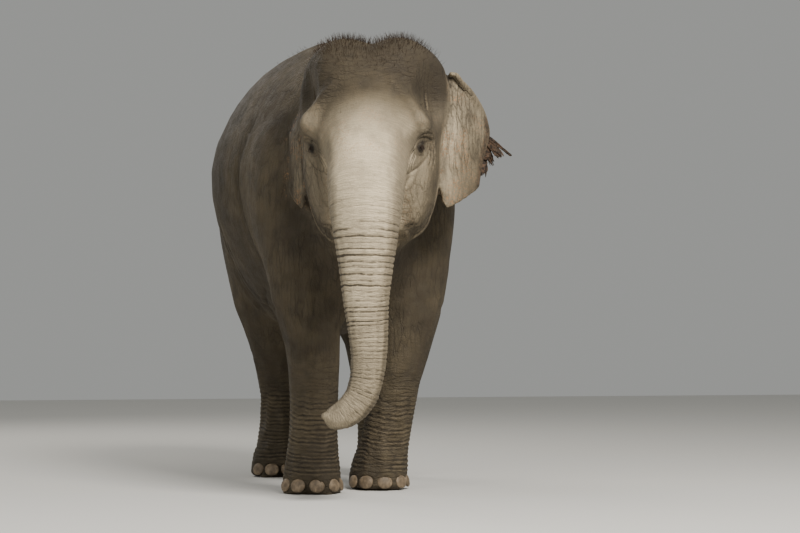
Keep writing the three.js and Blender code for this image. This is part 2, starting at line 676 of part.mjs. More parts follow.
const random = seeded(TUFT.seed);
const tailLine = spine(TAIL);
const tailCutAt = tailLine.at(TAIL_CUT);
const tailTube = sweptTube(TAIL);
add('tail_upper', tailTube.subtract(solidOf(beyond(tailCutAt, tailLine.along(TAIL_CUT)))), 'skin');
let tailEnd = tailTube.intersect(solidOf(beyond(tailCutAt, tailLine.along(TAIL_CUT), GAP)));
for (let i = 0; i < TUFT.locks; i++) tailEnd = tailEnd.add(tuftLock(i));
add('tail_lower', tailEnd, 'skin');

// A flat lock that grows from the front or the back of the tail's end and tapers to its tip. The higher its
// root, the more it leans out, so that it hangs over the lower ones.
function tuftLock(i) {
  const row = i % 2 ? 1 : -1;
  const rank = Math.floor(i / 2) / (TUFT.locks / 2 - 1);
  const root = tailLine.at(TUFT.from + (0.99 - TUFT.from) * rank);
  const length = TUFT.length * (0.8 + 0.25 * random());
  const lean = TUFT.lean * (1 - 0.75 * rank);
  const drift = TUFT.drift * (random() - 0.5);
  const aside = 4 * (random() - 0.5);
  const turn = 0.5 * (random() - 0.5);
  const rings = Array.from({ length: 5 }, (_, n) => {
    const t = n / 4;
    const half = 0.5 * TUFT.width * (1 - 0.93 * t ** 1.5);
    const out = lean * length * t * (1 - 0.35 * t);
    const bend = aside + drift * length * t * t;
    const centre = root.clone().add(vector([bend, row * out, TUFT.sunk - length * t]));
    const section = [[half, 0], [0, -half * 0.34], [-half, 0], [0, half * 0.34]];
    return section.map(([u, v]) => vector([u, v, 0]).applyAxisAngle(vector([0, 0, 1]), turn).add(centre));
  });
  return tubeOfRings(rings);
}

// Repeatable random numbers from 0 to 1
function seeded(seed) {
  let state = seed;
  return () => {
    state = (state * 16807) % 2147483647;
    return state / 2147483647;
  };
}

// --- Ears ---

const EAR_ACROSS = 5;
const EAR_DOWN = 14;
const earRoot = curveThrough(EAR.root);
const earRim = curveThrough(EAR.rim.map(([out, up]) => [out, 0, up]));

for (const side of [-1, 1]) {
  const name = side < 0 ? 'right' : 'left';
  let ear = earSheet(side, EAR[name]);
  if (name === 'left') ear = ear.add(tornMargin(side, EAR.left));
  for (const near of [headBlock, neckBlock, torsoBlock, legBlocks[`front_${name}`]]) {
    ear = ear.subtract(swollen(near, 2 * GAP));
  }
  add(`ear_${name}`, ear, 'skin');
}

// A row of an ear's middle sheet from the root out to the rim, a share `u` of the way down it
function earRow(u, { near, far, swept, width }) {
  const root = earRoot.getPoint(u);
  const rim = earRim.getPoint(u);
  const out = rim.x * width;
  const sweep = near + swept * Math.max(0, 1 - 2 * u);
  const place = new THREE.Vector2(root.x, root.y);
  return Array.from({ length: EAR_ACROSS + 1 }, (_, j) => {
    const t = j / EAR_ACROSS;
    const angle = THREE.MathUtils.degToRad(sweep + (far - near) * Math.min(1, (out * t) / 260));
    if (j) place.add(new THREE.Vector2(Math.cos(angle), Math.sin(angle)).multiplyScalar(out / EAR_ACROSS));
    const roll = EAR.fold * Math.max(0, (t - 0.7) / 0.3) ** 2 * Math.max(0, 1 - u / 0.45);
    const half = 0.5 * (EAR.thick[0] + (EAR.thick[1] - EAR.thick[0]) * Math.min(1, t * 1.4));
    return { at: vector([place.x, place.y - roll, root.z + (rim.z - root.z) * t]), angle, half };
  });
}

function earSheet(side, shape) {
  return sheetOfRows(Array.from({ length: EAR_DOWN + 1 }, (_, i) => earRow(i / EAR_DOWN, shape)), side);
}

// The torn margin: each row is rooted in the ear, passes its rim and runs on to a tip
function tornMargin(side, shape) {
  const angle = THREE.MathUtils.degToRad(TORN.angle);
  const rows = TORN.tips.map(([u, out, down]) => {
    const [inner, rim] = earRow(u, shape).slice(-2);
    const tip = rim.at.clone().add(vector([out * Math.cos(angle), out * Math.sin(angle), -down]));
    const half = TORN.thick / 2;
    return [{ ...inner, half: half * 0.8 }, { ...rim, half }, { at: tip, angle, half: half * 0.7 }];
  });
  return sheetOfRows(rows, side);
}

// A closed sheet round rows of { at, angle, half }: the middle, its direction and half its thickness. Both
// faces are divided alike, so they never cross.
function sheetOfRows(rows, side) {
  const [down, across] = [rows.length - 1, rows[0].length - 1];
  const faces = [1, -1].map((face) => rows.flat().map(({ at, angle, half }) =>
    at.clone().add(vector([-Math.sin(angle) * half * face, Math.cos(angle) * half * face, 0]))));
  const points = faces.flat().flatMap((p) => [side * p.x, p.y, p.z]);
  const count = (across + 1) * (down + 1);
  const at = (i, j) => i * (across + 1) + j;
  const triangles = [];
  const quad = (a, b, c, d) => triangles.push(...(side > 0 ? [a, b, c, a, c, d] : [a, c, b, a, d, c]));
  for (let i = 0; i < down; i++)
    for (let j = 0; j < across; j++) {
      const [a, b, c, d] = [at(i, j), at(i, j + 1), at(i + 1, j + 1), at(i + 1, j)];
      quad(a, b, c, d);
      quad(count + a, count + d, count + c, count + b);
    }
  const border = [];
  for (let j = 0; j < across; j++) border.push(at(0, j));
  for (let i = 0; i < down; i++) border.push(at(i, across));
  for (let j = across; j > 0; j--) border.push(at(down, j));
  for (let i = down; i > 0; i--) border.push(at(i, 0));
  border.forEach((a, n) => {
    const b = border[(n + 1) % border.length];
    quad(a, count + a, count + b, b);
  });
  return solidOf(placedOnHead(geometryFrom(points, triangles)));
}

// The origin lies on the floor under the middle of the animal
const bounds = new THREE.Box3().setFromObject(animal);
const centre = bounds.getCenter(new THREE.Vector3());
animal.position.set(-centre.x, -centre.y, 0);

export default animal;
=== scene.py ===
# %% [markdown]
# # An Asian elephant, life size
# The solids of the animal come first, as a fixed frame: head, jaw, trunk, neck, torso, legs, ears and tail
# meet with hairline gaps, and eyes and nails are bodies of their own. Everything below grows on that frame.
# One skin is drawn over all the flesh, sculpted into rings and folds, and given a hide. Then come the torn
# strips of one ear, the eyes and their lids, the sparse, stiff hair and the nails.

# %% Load the frame
import itertools
import math

import bmesh
import bpy
import numpy as np
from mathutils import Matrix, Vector
from mathutils.bvhtree import BVHTree


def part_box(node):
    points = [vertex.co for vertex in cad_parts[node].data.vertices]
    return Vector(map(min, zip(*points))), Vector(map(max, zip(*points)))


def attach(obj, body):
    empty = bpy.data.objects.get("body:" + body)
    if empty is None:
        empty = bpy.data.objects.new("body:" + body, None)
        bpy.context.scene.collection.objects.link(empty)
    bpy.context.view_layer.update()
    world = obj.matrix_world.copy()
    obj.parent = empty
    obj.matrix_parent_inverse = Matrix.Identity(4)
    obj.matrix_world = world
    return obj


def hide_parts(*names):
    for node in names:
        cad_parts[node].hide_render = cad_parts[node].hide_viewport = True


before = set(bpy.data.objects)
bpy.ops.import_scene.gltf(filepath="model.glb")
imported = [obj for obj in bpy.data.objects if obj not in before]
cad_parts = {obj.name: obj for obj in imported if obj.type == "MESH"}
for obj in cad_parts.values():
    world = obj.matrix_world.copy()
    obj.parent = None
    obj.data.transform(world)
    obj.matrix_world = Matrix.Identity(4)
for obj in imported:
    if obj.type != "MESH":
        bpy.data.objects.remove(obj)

bpy.context.view_layer.update()

# %% [markdown]
# ## Helpers
# A mesh of half a million points is moved quickest as one table of numbers, so these helpers read and write
# whole meshes as arrays. Modifiers do what Blender does best, such as remeshing and smoothing, and their
# result is taken as a plain mesh.

# %% Reading and writing whole meshes
def places(mesh):
    """Every point of a mesh, one row each."""
    flat = np.empty(len(mesh.vertices) * 3, np.float32)
    mesh.vertices.foreach_get("co", flat)
    return flat.reshape(-1, 3).astype(np.float64)


def move_to(mesh, points):
    mesh.vertices.foreach_set("co", np.ascontiguousarray(points, np.float32).ravel())
    mesh.update()


def outward(mesh):
    """The direction that the surface faces at every point."""
    flat = np.empty(len(mesh.vertices) * 3, np.float32)
    mesh.vertex_normals.foreach_get("vector", flat)
    return flat.reshape(-1, 3).astype(np.float64)


def finished(work, name):
    """A mesh from a bmesh, which is used up."""
    mesh = bpy.data.meshes.new(name)
    work.to_mesh(mesh)
    work.free()
    return mesh


def triangles(mesh):
    return sum(len(face.vertices) - 2 for face in mesh.polygons)


def new_object(name, mesh):
    made = bpy.data.objects.new(name, mesh)
    bpy.context.scene.collection.objects.link(made)
    return made


def bake_modifiers(thing):
    """Puts the result of the modifiers in the mesh and clears them."""
    seen = thing.evaluated_get(bpy.context.evaluated_depsgraph_get())
    made = bpy.data.meshes.new_from_object(seen)
    thing.modifiers.clear()
    thing.data = made
    return thing


def softened(thing, rounds, group=""):
    """The points of a mesh after so many rounds of the Smooth modifier."""
    soft = thing.modifiers.new("Soft", "SMOOTH")
    soft.factor, soft.iterations, soft.vertex_group = 0.5, rounds, group
    seen = thing.evaluated_get(bpy.context.evaluated_depsgraph_get())
    points = places(seen.data)
    thing.modifiers.clear()
    return points


GROUP_STEPS = 64  # each step of weight is one call


def write_group(thing, name, weights):
    """A vertex group whose weights differ from point to point."""
    group = thing.vertex_groups.new(name=name)
    steps = np.round(np.clip(weights, 0, 1) * GROUP_STEPS).astype(int)
    for step in np.unique(steps):
        group.add(np.nonzero(steps == step)[0].tolist(), step / GROUP_STEPS, "REPLACE")


def write_number(mesh, name, values):
    """Keeps one value for each point, under a name that a material or a node tree can read."""
    layer = mesh.attributes.new(name, "FLOAT", "POINT")
    layer.data.foreach_set("value", np.ascontiguousarray(values, np.float32))


# %% Ramps, bumps and distances
def ramp(value, start, end):
    """0 before start, 1 after end, and a smooth step between; start may be the larger one."""
    t = np.clip((value - start) / (end - start), 0, 1)
    return t * t * (3 - 2 * t)


def dome(distance, reach):
    """1 in the middle, falling smoothly to nothing."""
    return np.exp(-((distance / reach) ** 2))


CLOUD_START, CLOUD_STEP = 311.7, 19.19  # in cells: where the pattern starts, and how far apart seeds lie
PRIMES = (73856093, 19349663, 83492791)  # large, so that neighbouring cells get unlike values


def clouds(points, size, seed):
    """Smooth random values from -1 to 1, each bump about `size` metres across."""
    grid = points / size + CLOUD_START + CLOUD_STEP * seed
    cell = np.floor(grid).astype(np.int64)
    part = grid - cell
    part = part * part * (3 - 2 * part)
    total = np.zeros(len(points))
    for corner in itertools.product((0, 1), repeat=3):
        at = cell + corner
        mixed = np.bitwise_xor.reduce(at * PRIMES, axis=1)
        mixed = (mixed ^ (mixed >> 13)) * 1274126177 & 0xFFFFFF
        share = np.prod(np.where(corner, part, 1 - part), axis=1)
        total += share * (mixed / 0x7FFFFF - 1)
    return total


def curve_through(stations, steps):
    """A smooth curve through the stations (Catmull-Rom), which carries any numbers after x, y and z along."""
    rows = np.array(stations, float)
    rows = np.vstack([2 * rows[0] - rows[1], rows, 2 * rows[-1] - rows[-2]])
    made = []
    for a, b, c, d in zip(rows, rows[1:], rows[2:], rows[3:]):
        for t in np.arange(steps) / steps:
            made.append(0.5 * (2 * b + (c - a) * t + (2 * a - 5 * b + 4 * c - d) * t**2
                               + (3 * b - a - 3 * c + d) * t**3))
    return np.vstack([made, rows[-2]])


BATCH = 20000  # points at a time, which keeps the table of distances small


def nearest_on(curve, points):
    """For each point: the nearest sample of the curve, and the distance to it."""
    which, far = np.empty(len(points), int), np.empty(len(points))
    for start in range(0, len(points), BATCH):
        batch = slice(start, start + BATCH)
        gaps = ((points[batch, None, :] - curve[None, :, :3]) ** 2).sum(2)
        which[batch], far[batch] = gaps.argmin(1), np.sqrt(gaps.min(1))
    return which, far


# %% [markdown]
# ## Places on the animal
# Everything that grows on the animal is placed by its own measures, in metres. The body is measured from
# between the forefeet, and the head from its own middle, with axes that turn with it.

# %% The head's axes
BODY = np.array([-0.0499, -0.5282, 0])  # the point between the forefeet
HEAD_MIDDLE = BODY + (-0.028, -0.400, 1.950)
HEAD_TURN = math.radians(-21)
TURN = np.array([[math.cos(HEAD_TURN), -math.sin(HEAD_TURN), 0],
                 [math.sin(HEAD_TURN), math.cos(HEAD_TURN), 0], [0, 0, 1]])


def in_head(points):
    """Room to head: x towards the animal's left ear, -y out of its forehead, z up."""
    return (points - HEAD_MIDDLE) @ TURN


def from_head(points):
    return np.asarray(points, float) @ TURN.T + HEAD_MIDDLE


# %% [markdown]
# ## Ears
# An ear is a thin sheet that leaves the head along a line behind the cheek and opens backwards like a sail.
# Its outline is the shape that people know an Asian elephant by, so it is drawn here as a rim of distances
# and heights. The top edge rolls forward, veins stand out, and the sheet buckles in soft upright folds. It is
# finer than its solid and sinks into the head, where the skin will join it. Part of the left ear's back
# margin is torn, and strips of hide will hang from it.

# %% The sheet of an ear
EAR_ROOT = [(0.322, 0.110, 0.190), (0.338, 0.080, 0.050), (0.332, 0.055, -0.130), (0.335, 0.045, -0.300),
            (0.355, 0.055, -0.440)]
EAR_RIM = [  # how far out along the ear, and height
    (0.088, 0.218), (0.124, 0.220), (0.154, 0.185), (0.214, 0.138), (0.292, 0.066), (0.336, 0.017),
    (0.366, -0.044), (0.368, -0.089), (0.338, -0.159), (0.306, -0.235), (0.288, -0.309), (0.262, -0.363),
    (0.150, -0.424), (0.030, -0.480)]
EAR_SHAPE = {  # which way is out, degrees back from sideways at root and rim, extra sweep at the top, width
    "left": (1, 26, 64, 0, 1.0),
    "right": (-1, 30, 80, 50, 0.68)}
EAR_CUP = 0.26  # the distance over which an ear turns from the one direction to the other
EAR_THICK, EAR_THIN = 0.034, 0.011  # at the root, and over most of the sheet
EAR_ROWS, EAR_COLUMNS = 91, 49
ear_root, ear_rim = curve_through(EAR_ROOT, 40), curve_through([(out, 0, up) for out, up in EAR_RIM], 12)


def read_curve(curve, shares):
    at = np.asarray(shares) * (len(curve) - 1)
    return np.stack([np.interp(at, np.arange(len(curve)), curve[:, axis]) for axis in range(3)], -1)


def ear_points(down, shape):
    """The middle of an ear's sheet at shares down it: places and half thicknesses."""
    _, near, far, swept, width = shape
    root, rim = read_curve(ear_root, down), read_curve(ear_rim, down)
    out = rim[:, 0] * width
    t = np.linspace(0, 1, EAR_COLUMNS)
    sweep = near + swept * np.maximum(0, 1 - 2 * down)
    angle = np.radians(sweep[:, None] + (far - near) * np.minimum(1, out[:, None] * t / EAR_CUP))
    step = out[:, None] / (EAR_COLUMNS - 1)
    x = root[:, :1] + np.cumsum(np.cos(angle) * step, 1) - np.cos(angle[:, :1]) * step
    y = root[:, 1:2] + np.cumsum(np.sin(angle) * step, 1) - np.sin(angle[:, :1]) * step
    z = root[:, 2:] + (rim[:, 2:] - root[:, 2:]) * t
    down = down[:, None]
    high = np.maximum(0, 1 - down / 0.5)
    # The top edge rolls forward, with a soft hollow before the roll.
    y = y - (0.050 * np.maximum(0, (t - 0.66) / 0.34) ** 1.5 + 0.014 * dome(t - 0.92, 0.08)) * high
    y = y + 0.016 * dome(t - 0.74, 0.07) * np.minimum(1, high * 3)
    # Broad waves, then upright buckles a few centimetres apart.
    y = y + 0.008 * np.sin(9.0 * down + 4 * t) * t + 0.004 * np.sin(23 * down - 5 * t) * t**2
    y = y + 0.0028 * np.sin(52 * t + 2.5 * np.sin(6 * down)) * ramp(t, 0.06, 0.25) * ramp(t, 1.0, 0.8)
    half = 0.5 * (EAR_THICK + (EAR_THIN - EAR_THICK) * np.minimum(1, t * 1.4))
    half = half + 0.005 * ramp(t, 0.55, 0.75) * high
    return np.stack([x, y, z], -1), half


RIM_PINCH = 0.35  # how much of a sheet's thickness its rim keeps


def sheet_mesh(name, middle, half, side):
    """A closed mesh round a grid of middle points; the last column is pinched so that the rim is round."""
    rows, columns = half.shape
    pinch = np.ones((rows, columns))
    pinch[:, -1] = RIM_PINCH
    aside = np.cross(np.gradient(middle, axis=0), np.gradient(middle, axis=1))
    aside *= (half * pinch / np.linalg.norm(aside, axis=-1))[..., None]
    points = np.concatenate([(middle + aside).reshape(-1, 3), (middle - aside).reshape(-1, 3)])
    points[:, 0] *= side
    count = rows * columns
    at = np.arange(count).reshape(rows, columns)
    a, b, c, d = at[:-1, :-1].ravel(), at[:-1, 1:].ravel(), at[1:, 1:].ravel(), at[1:, :-1].ravel()
    border = np.concatenate([at[0, :-1], at[:-1, -1], at[-1, :0:-1], at[:0:-1, 0]])
    beyond = np.roll(border, -1)
    faces = np.concatenate([np.stack([a, b, c, d], 1), np.stack([a, d, c, b], 1) + count,
                            np.stack([border, border + count, beyond + count, beyond], 1)])
    if side < 0:
        faces = faces[:, ::-1]
    mesh = bpy.data.meshes.new(name)
    mesh.from_pydata(from_head(points).tolist(), [], faces.tolist())
    return new_object(name, mesh)


VEINS = [(0.10, 0.30), (0.26, 0.42), (0.42, 0.52), (0.60, 0.66), (0.78, 0.84)]  # share down at root and rim
VEIN_HEIGHT, VEIN_WIDTH = 0.0024, 0.010


def ear_sheet(name):
    shape = EAR_SHAPE[name]
    down = np.linspace(0, 1, EAR_ROWS)
    middle, half = ear_points(down, shape)
    t = np.linspace(0, 1, EAR_COLUMNS)
    for at_root, at_rim in VEINS:
        line = at_root + (at_rim - at_root) * t + 0.012 * np.sin(14 * t + 9 * at_root)
        half += VEIN_HEIGHT * dome(down[:, None] - line, VEIN_WIDTH) * ramp(t, 0.1, 0.35) * ramp(t, 0.95, 0.6)
    return sheet_mesh(f"ear_sheet_{name}", middle, half, shape[0])


# %% Where the left ear is torn
TORN = (0.40, 0.85)  # share down the ear where the torn margin starts and ends
torn_rim = ear_points(np.linspace(*TORN, 40), EAR_SHAPE["left"])[0][:, -1]
print("torn margin from", torn_rim[0].round(3), "to", torn_rim[-1].round(3))


# %% [markdown]
# ## The skin
# On the animal one skin runs over everything, so no joint may show between the solids. Copies of the flesh
# solids, the new ears and a bare end for the tail go into one mesh, and a voxel remesh fuses them: it fills
# the hairline gaps and gives an even net of points that can be sculpted.

# %% Fuse the flesh
VOXEL = 0.006
FLESH = [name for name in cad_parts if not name.startswith(("eye", "nail"))]
TAIL = [  # places in the body's measures, and radii
    (0, 1.760, 1.830, 0.070), (0, 1.880, 1.815, 0.066), (0.003, 1.960, 1.700, 0.052),
    (0.010, 1.985, 1.500, 0.040), (0.018, 1.978, 1.260, 0.030), (0.025, 1.965, 1.040, 0.023),
    (0.028, 1.960, 0.880, 0.017)]
tail_line = curve_through(TAIL, 12) + (*BODY, 0)


def tube(name, line):
    """A closed tube round a line of places and radii."""
    sides = 20
    way = np.gradient(line[:, :3], axis=0)
    way /= np.linalg.norm(way, axis=1)[:, None]
    across = np.array([1.0, 0, 0]) - way[:, :1] * way
    across /= np.linalg.norm(across, axis=1)[:, None]
    third = np.cross(way, across)
    turn = np.arange(sides) * 2 * math.pi / sides
    rings = [p[:3] + p[3] * (np.cos(turn)[:, None] * a + np.sin(turn)[:, None] * b)
             for p, a, b in zip(line, across, third)]
    work = bmesh.new()
    made = [[work.verts.new(p) for p in ring] for ring in rings]
    for lower, upper in zip(made, made[1:]):
        for j in range(sides):
            k = (j + 1) % sides
            work.faces.new((lower[j], lower[k], upper[k], upper[j]))
    work.faces.new(made[0][::-1])
    work.faces.new(made[-1])
    return new_object(name, finished(work, name))


def copies(name, nodes, extra=()):
    """One object from merged copies of several solids and any extra objects, which are used up."""
    work = bmesh.new()
    for node in nodes:
        work.from_mesh(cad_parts[node].data)
    bmesh.ops.remove_doubles(work, verts=work.verts, dist=1e-5)
    for thing in extra:
        work.from_mesh(thing.data)
        bpy.data.objects.remove(thing)
    mesh = finished(work, name)
    mesh.materials.clear()
    return new_object(name, mesh)


def drop_scraps(thing):
    """Keeps the largest connected surface: slivers of the gaps between solids are left inside."""
    work = bmesh.new()
    work.from_mesh(thing.data)
    work.verts.ensure_lookup_table()
    seen, best = set(), []
    for start in work.verts:
        if start.index in seen:
            continue
        island, edge = [], [start]
        seen.add(start.index)
        while edge:
            point = edge.pop()
            island.append(point)
            for side in point.link_edges:
                other = side.other_vert(point)
                if other.index not in seen:
                    seen.add(other.index)
                    edge.append(other)
        best = max(best, island, key=len)
        if len(best) > len(work.verts) / 2:
            break
    keep = set(best)
    bmesh.ops.delete(work, geom=[v for v in work.verts if v not in keep], context="VERTS")
    work.to_mesh(thing.data)
    work.free()


solid_flesh = [name for name in FLESH if not name.startswith(("ear", "tail_lower"))]
bare_tail = tail_line[len(tail_line) // 2 - 8:]  # its lower half, and enough above to sink into the solid
skin = copies("skin", solid_flesh, [ear_sheet("left"), ear_sheet("right"), tube("tail_end", bare_tail)])
fused = skin.modifiers.new("Fuse", "REMESH")
fused.mode, fused.voxel_size = "VOXEL", VOXEL
bake_modifiers(skin)
drop_scraps(skin)
print("fused skin:", len(skin.data.vertices), "points")

# %% [markdown]
# ## Where is what
# Folds and colours belong to places: rings to the trunk, hollows to the temples, bristles to the crown. The
# trunk is measured along its middle line, from root to tip, and a place elsewhere by how near it is to the
# solids of that part.

# %% The trunk's middle line
TRUNK = [  # places in the head's axes, and radii
    (0.018, -0.110, 0.010, 0.175), (0.027, -0.225, -0.150, 0.198), (0.034, -0.325, -0.300, 0.196),
    (0.038, -0.398, -0.440, 0.189), (0.041, -0.436, -0.600, 0.168), (0.043, -0.448, -0.760, 0.143),
    (0.047, -0.450, -0.950, 0.116), (0.061, -0.446, -1.195, 0.093), (0.049, -0.448, -1.345, 0.085),
    (0.021, -0.452, -1.431, 0.082), (-0.030, -0.460, -1.493, 0.077), (-0.074, -0.467, -1.521, 0.068),
    (-0.112, -0.469, -1.531, 0.057)]
TRUNK_REACH = 0.28  # metres from the middle line within which a point may be trunk
trunk_line = curve_through(TRUNK, 24)
trunk_line[:, :3] = from_head(trunk_line[:, :3])
trunk_steps = np.linalg.norm(np.diff(trunk_line[:, :3], axis=0), axis=1)
trunk_length = np.concatenate([[0], np.cumsum(trunk_steps)])
trunk_way = np.gradient(trunk_line[:, :3], axis=0)
trunk_way /= np.linalg.norm(trunk_way, axis=1)[:, None]
FOREHEAD = TURN @ np.array([0, -1.0, 0])
print("trunk, root to tip:", round(trunk_length[-1], 3), "m")


def on_trunk(points):
    """Metres along the trunk, radians round it from its front, and from 0 to 1 how much trunk a point is."""
    along, around, share = np.zeros((3, len(points)))
    low, high = trunk_line[:, :3].min(0) - TRUNK_REACH, trunk_line[:, :3].max(0) + TRUNK_REACH
    close = np.all((points > low) & (points < high), axis=1)
    near, far = nearest_on(trunk_line, points[close])
    arm = points[close] - trunk_line[near, :3]
    front = FOREHEAD - (trunk_way[near] @ FOREHEAD)[:, None] * trunk_way[near]
    front /= np.linalg.norm(front, axis=1)[:, None]
    side = np.cross(trunk_way[near], front)
    along[close] = trunk_length[near] + (arm * trunk_way[near]).sum(1)
    around[close] = np.arctan2((arm * side).sum(1), (arm * front).sum(1))
    share[close] = ramp(far / trunk_line[near, 3], 1.5, 1.15)
    return along, around, share


# %% How near a solid is
def distance_to(nodes, points, reach):
    """Each point's distance to the named solids, or `reach` where they are further away."""
    work = bmesh.new()
    for node in nodes:
        work.from_mesh(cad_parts[node].data)
    tree = BVHTree.FromBMesh(work)
    work.free()
    low = np.min([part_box(node)[0] for node in nodes], axis=0) - reach
    high = np.max([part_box(node)[1] for node in nodes], axis=0) + reach
    far = np.full(len(points), float(reach))
    for i in np.nonzero(np.all((points > low) & (points < high), axis=1))[0]:
        hit = tree.find_nearest(points[i], reach)
        if hit[0] is not None:
            far[i] = hit[3]
    return far


EARS = ("ear_right", "ear_left")
TAIL_SOLIDS = ("tail_upper", "tail_lower")
SIDES = {"right": -1, "left": 1}  # and which way is out, in the head's axes
EYE_AT = {side: np.mean(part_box(f"eye_{side}"), axis=0) for side in SIDES}
EYE_RADIUS = float(max(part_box("eye_left")[1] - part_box("eye_left")[0]) / 2)
GAZE = np.array([0.87, -0.49, -0.03])  # the left eye's, in the head's axes
GAZE /= np.linalg.norm(GAZE)
EYE_IN_HEAD = in_head(EYE_AT["left"])
print("left eye in the head:", EYE_IN_HEAD.round(3), "radius", round(EYE_RADIUS, 4))


def mirrored(points):
    """Places in the head's axes, folded on to its left half."""
    q = in_head(points)
    q[:, 0] = np.abs(q[:, 0])
    return q


def from_eye(q):
    """Distance from the nearer eye, and the angle off its gaze."""
    arm = q - EYE_IN_HEAD
    far = np.linalg.norm(arm, axis=1)
    return far, np.arccos(np.clip(arm @ GAZE / np.maximum(far, 1e-6), -1, 1))


# %% [markdown]
# ## Rounding the form
# The solids are made of flat facets, larger on the body than on the face. Smoothing melts them, but it also
# shrinks what is thin. Two tricks keep the form: each region is smoothed only as much as its facets need,
# and the points are then pushed back by what a second smoothing would take away.

# %% Smooth by region
SMOOTH_ROUNDS, FINE_VOXEL = 150, 0.006  # rounds of smoothing for a net this fine
SOLE = 0.004  # metres above the floor, below which a point belongs to a flat sole


def smooth_by_region(thing):
    """Rounds the form, and returns how far each point moved."""
    points = places(thing.data)
    _, _, trunk_share = on_trunk(points)
    head_share = ramp(distance_to(("head", "lower_jaw"), points, 0.25), 0.25, 0.03)
    ear_share = ramp(distance_to(EARS, points, 0.05), 0.05, 0.01)
    tail_share = ramp(distance_to(TAIL_SOLIDS, points, 0.06), 0.06, 0.01)
    eye_near, _ = from_eye(mirrored(points))
    soft = 0.9 - 0.4 * ramp(points[:, 2], 1.25, 0.75)  # less on the legs than on the barrel
    for share, amount in ((head_share, 0.12), (trunk_share, 0.16), (ear_share, 0.012), (tail_share, 0.05),
                          (ramp(eye_near, 0.09, 0.05), 0.02)):
        soft += share * (amount - soft)
    write_group(thing, "soft", soft)
    rounds = int(SMOOTH_ROUNDS * (FINE_VOXEL / VOXEL) ** 2)
    once, twice = softened(thing, rounds, "soft"), softened(thing, 2 * rounds, "soft")
    rounded = 2 * once - twice
    sole = points[:, 2] < SOLE
    rounded[sole, 2] = points[sole, 2]
    rounded[:, 2] = np.maximum(rounded[:, 2], 0)
    move_to(thing.data, rounded)
    thing.vertex_groups.clear()
    return np.linalg.norm(rounded - points, axis=1)


moved = smooth_by_region(skin)
print("rounded by up to", round(float(moved.max()) * 1000), "mm")

# %% [markdown]
# ## Room for the eyes
# Lids are too thin for the skin's net, so they are a piece of their own. Round each eye the skin is pressed
# back to a smooth cheek, and in the middle it dips inside the eyeball, where it can't be seen.

# %% Press the skin back round the eyes
EYE_DEPTH = 0.0155  # from the cheek's surface down to the middle of the eyeball
EYE_DIP = 0.0210  # from the middle of the eyeball to the skin inside it
EYE_SIDE = 1.35  # the widest angle off the gaze that is pressed, in radians


def clear_eyes(thing, reach=0.052, slack=0.0):
    """Presses the skin back within reach of each eye; slack lets it stand higher towards the outside."""
    points = places(thing.data)
    q = mirrored(points)
    far, off = from_eye(q)
    cheek = EYE_DEPTH / np.cos(np.minimum(off, EYE_SIDE))
    most = EYE_DIP + (cheek - EYE_DIP) * ramp(off, 0.84, 1.08)
    most += slack * ramp(far, 0.032, reach)
    most = np.where((off < EYE_SIDE) & (far < reach), most, np.inf)
    shrink = np.minimum(1, most / np.maximum(far, 1e-6))
    pressed = EYE_IN_HEAD + (q - EYE_IN_HEAD) * shrink[:, None]
    pressed[:, 0] *= np.sign(in_head(points)[:, 0])
    near = shrink < 1
    points[near] = from_head(pressed[near])
    move_to(thing.data, points)
    return int(near.sum())


print("points pressed back round the eyes:", clear_eyes(skin))

# %% [markdown]
# ## Rings round the trunk
# A trunk folds like a bellows. Its grooves run round it, fine and faint below the forehead, deep and close
# together further down, and none runs quite level or all the way. Each groove is a place along the middle
# line, with its own depth, and slow noise bends it and lets it fade.

# %% Where the grooves lie
GROOVES = [  # height in the head's axes, then the step to the next groove and its depth, in metres
    (-0.20, 0.022, 0.0007), (-0.42, 0.026, 0.0012), (-0.50, 0.031, 0.0022), (-0.61, 0.033, 0.0034),
    (-0.84, 0.028, 0.0042), (-1.00, 0.0245, 0.0040), (-1.24, 0.0195, 0.0034), (-1.53, 0.0165, 0.0026)]


def groove_places():
    """Metres along the trunk and depth of each groove."""
    dice = np.random.default_rng(11)
    heights, steps, depths = np.array(GROOVES).T
    below = -in_head(trunk_line[:, :3])[:, 2]
    at = trunk_length[np.argmax(below > -heights[0])]
    made = []
    while at < trunk_length[-1] - 0.02:
        here = np.interp(at, trunk_length, below)
        made.append((at, np.interp(here, -heights, depths) * dice.uniform(0.6, 1.25)))
        at += np.interp(here, -heights, steps) * dice.uniform(0.82, 1.18)
    return np.array(made)


grooves = groove_places()
print(len(grooves), "grooves round the trunk")


# %% Cut grooves across a limb
SWELL, CUT = 0.30, 1.25  # in depths: how far the skin stands out between grooves, and sinks in one


def groove_lift(points, along, places_, wander, width):
    """Grooves at their places along a limb, each bent and faded by slow noise."""
    bent = along + wander * clouds(points, 0.16, 1) + 0.5 * wander * clouds(points, 0.05, 2)
    after = np.clip(np.searchsorted(places_[:, 0], bent), 1, len(places_) - 1)
    before = after - 1
    pick = np.where(bent - places_[before, 0] < places_[after, 0] - bent, before, after)
    gap = np.abs(bent - places_[pick, 0])
    fade = 0.35 + 0.65 * ramp(clouds(points + pick[:, None] * 0.37, 0.14, 3), -0.7, 0.0)
    inside = ramp(bent, places_[0, 0] - 0.03, places_[0, 0] + 0.02)
    return places_[pick, 1] * fade * inside * (SWELL - CUT * dome(gap, width))


def ring_lift(points, _):
    """The trunk's grooves, fainter at its back."""
    along, around, share = on_trunk(points)
    lift = np.zeros(len(points))
    on = share > 0.01
    back = 1 - 0.45 * ramp(np.abs(around[on]), 1.7, 2.6)
    lift[on] = groove_lift(points[on], along[on], grooves, wander=0.007, width=0.0056) * share[on] * back
    return lift


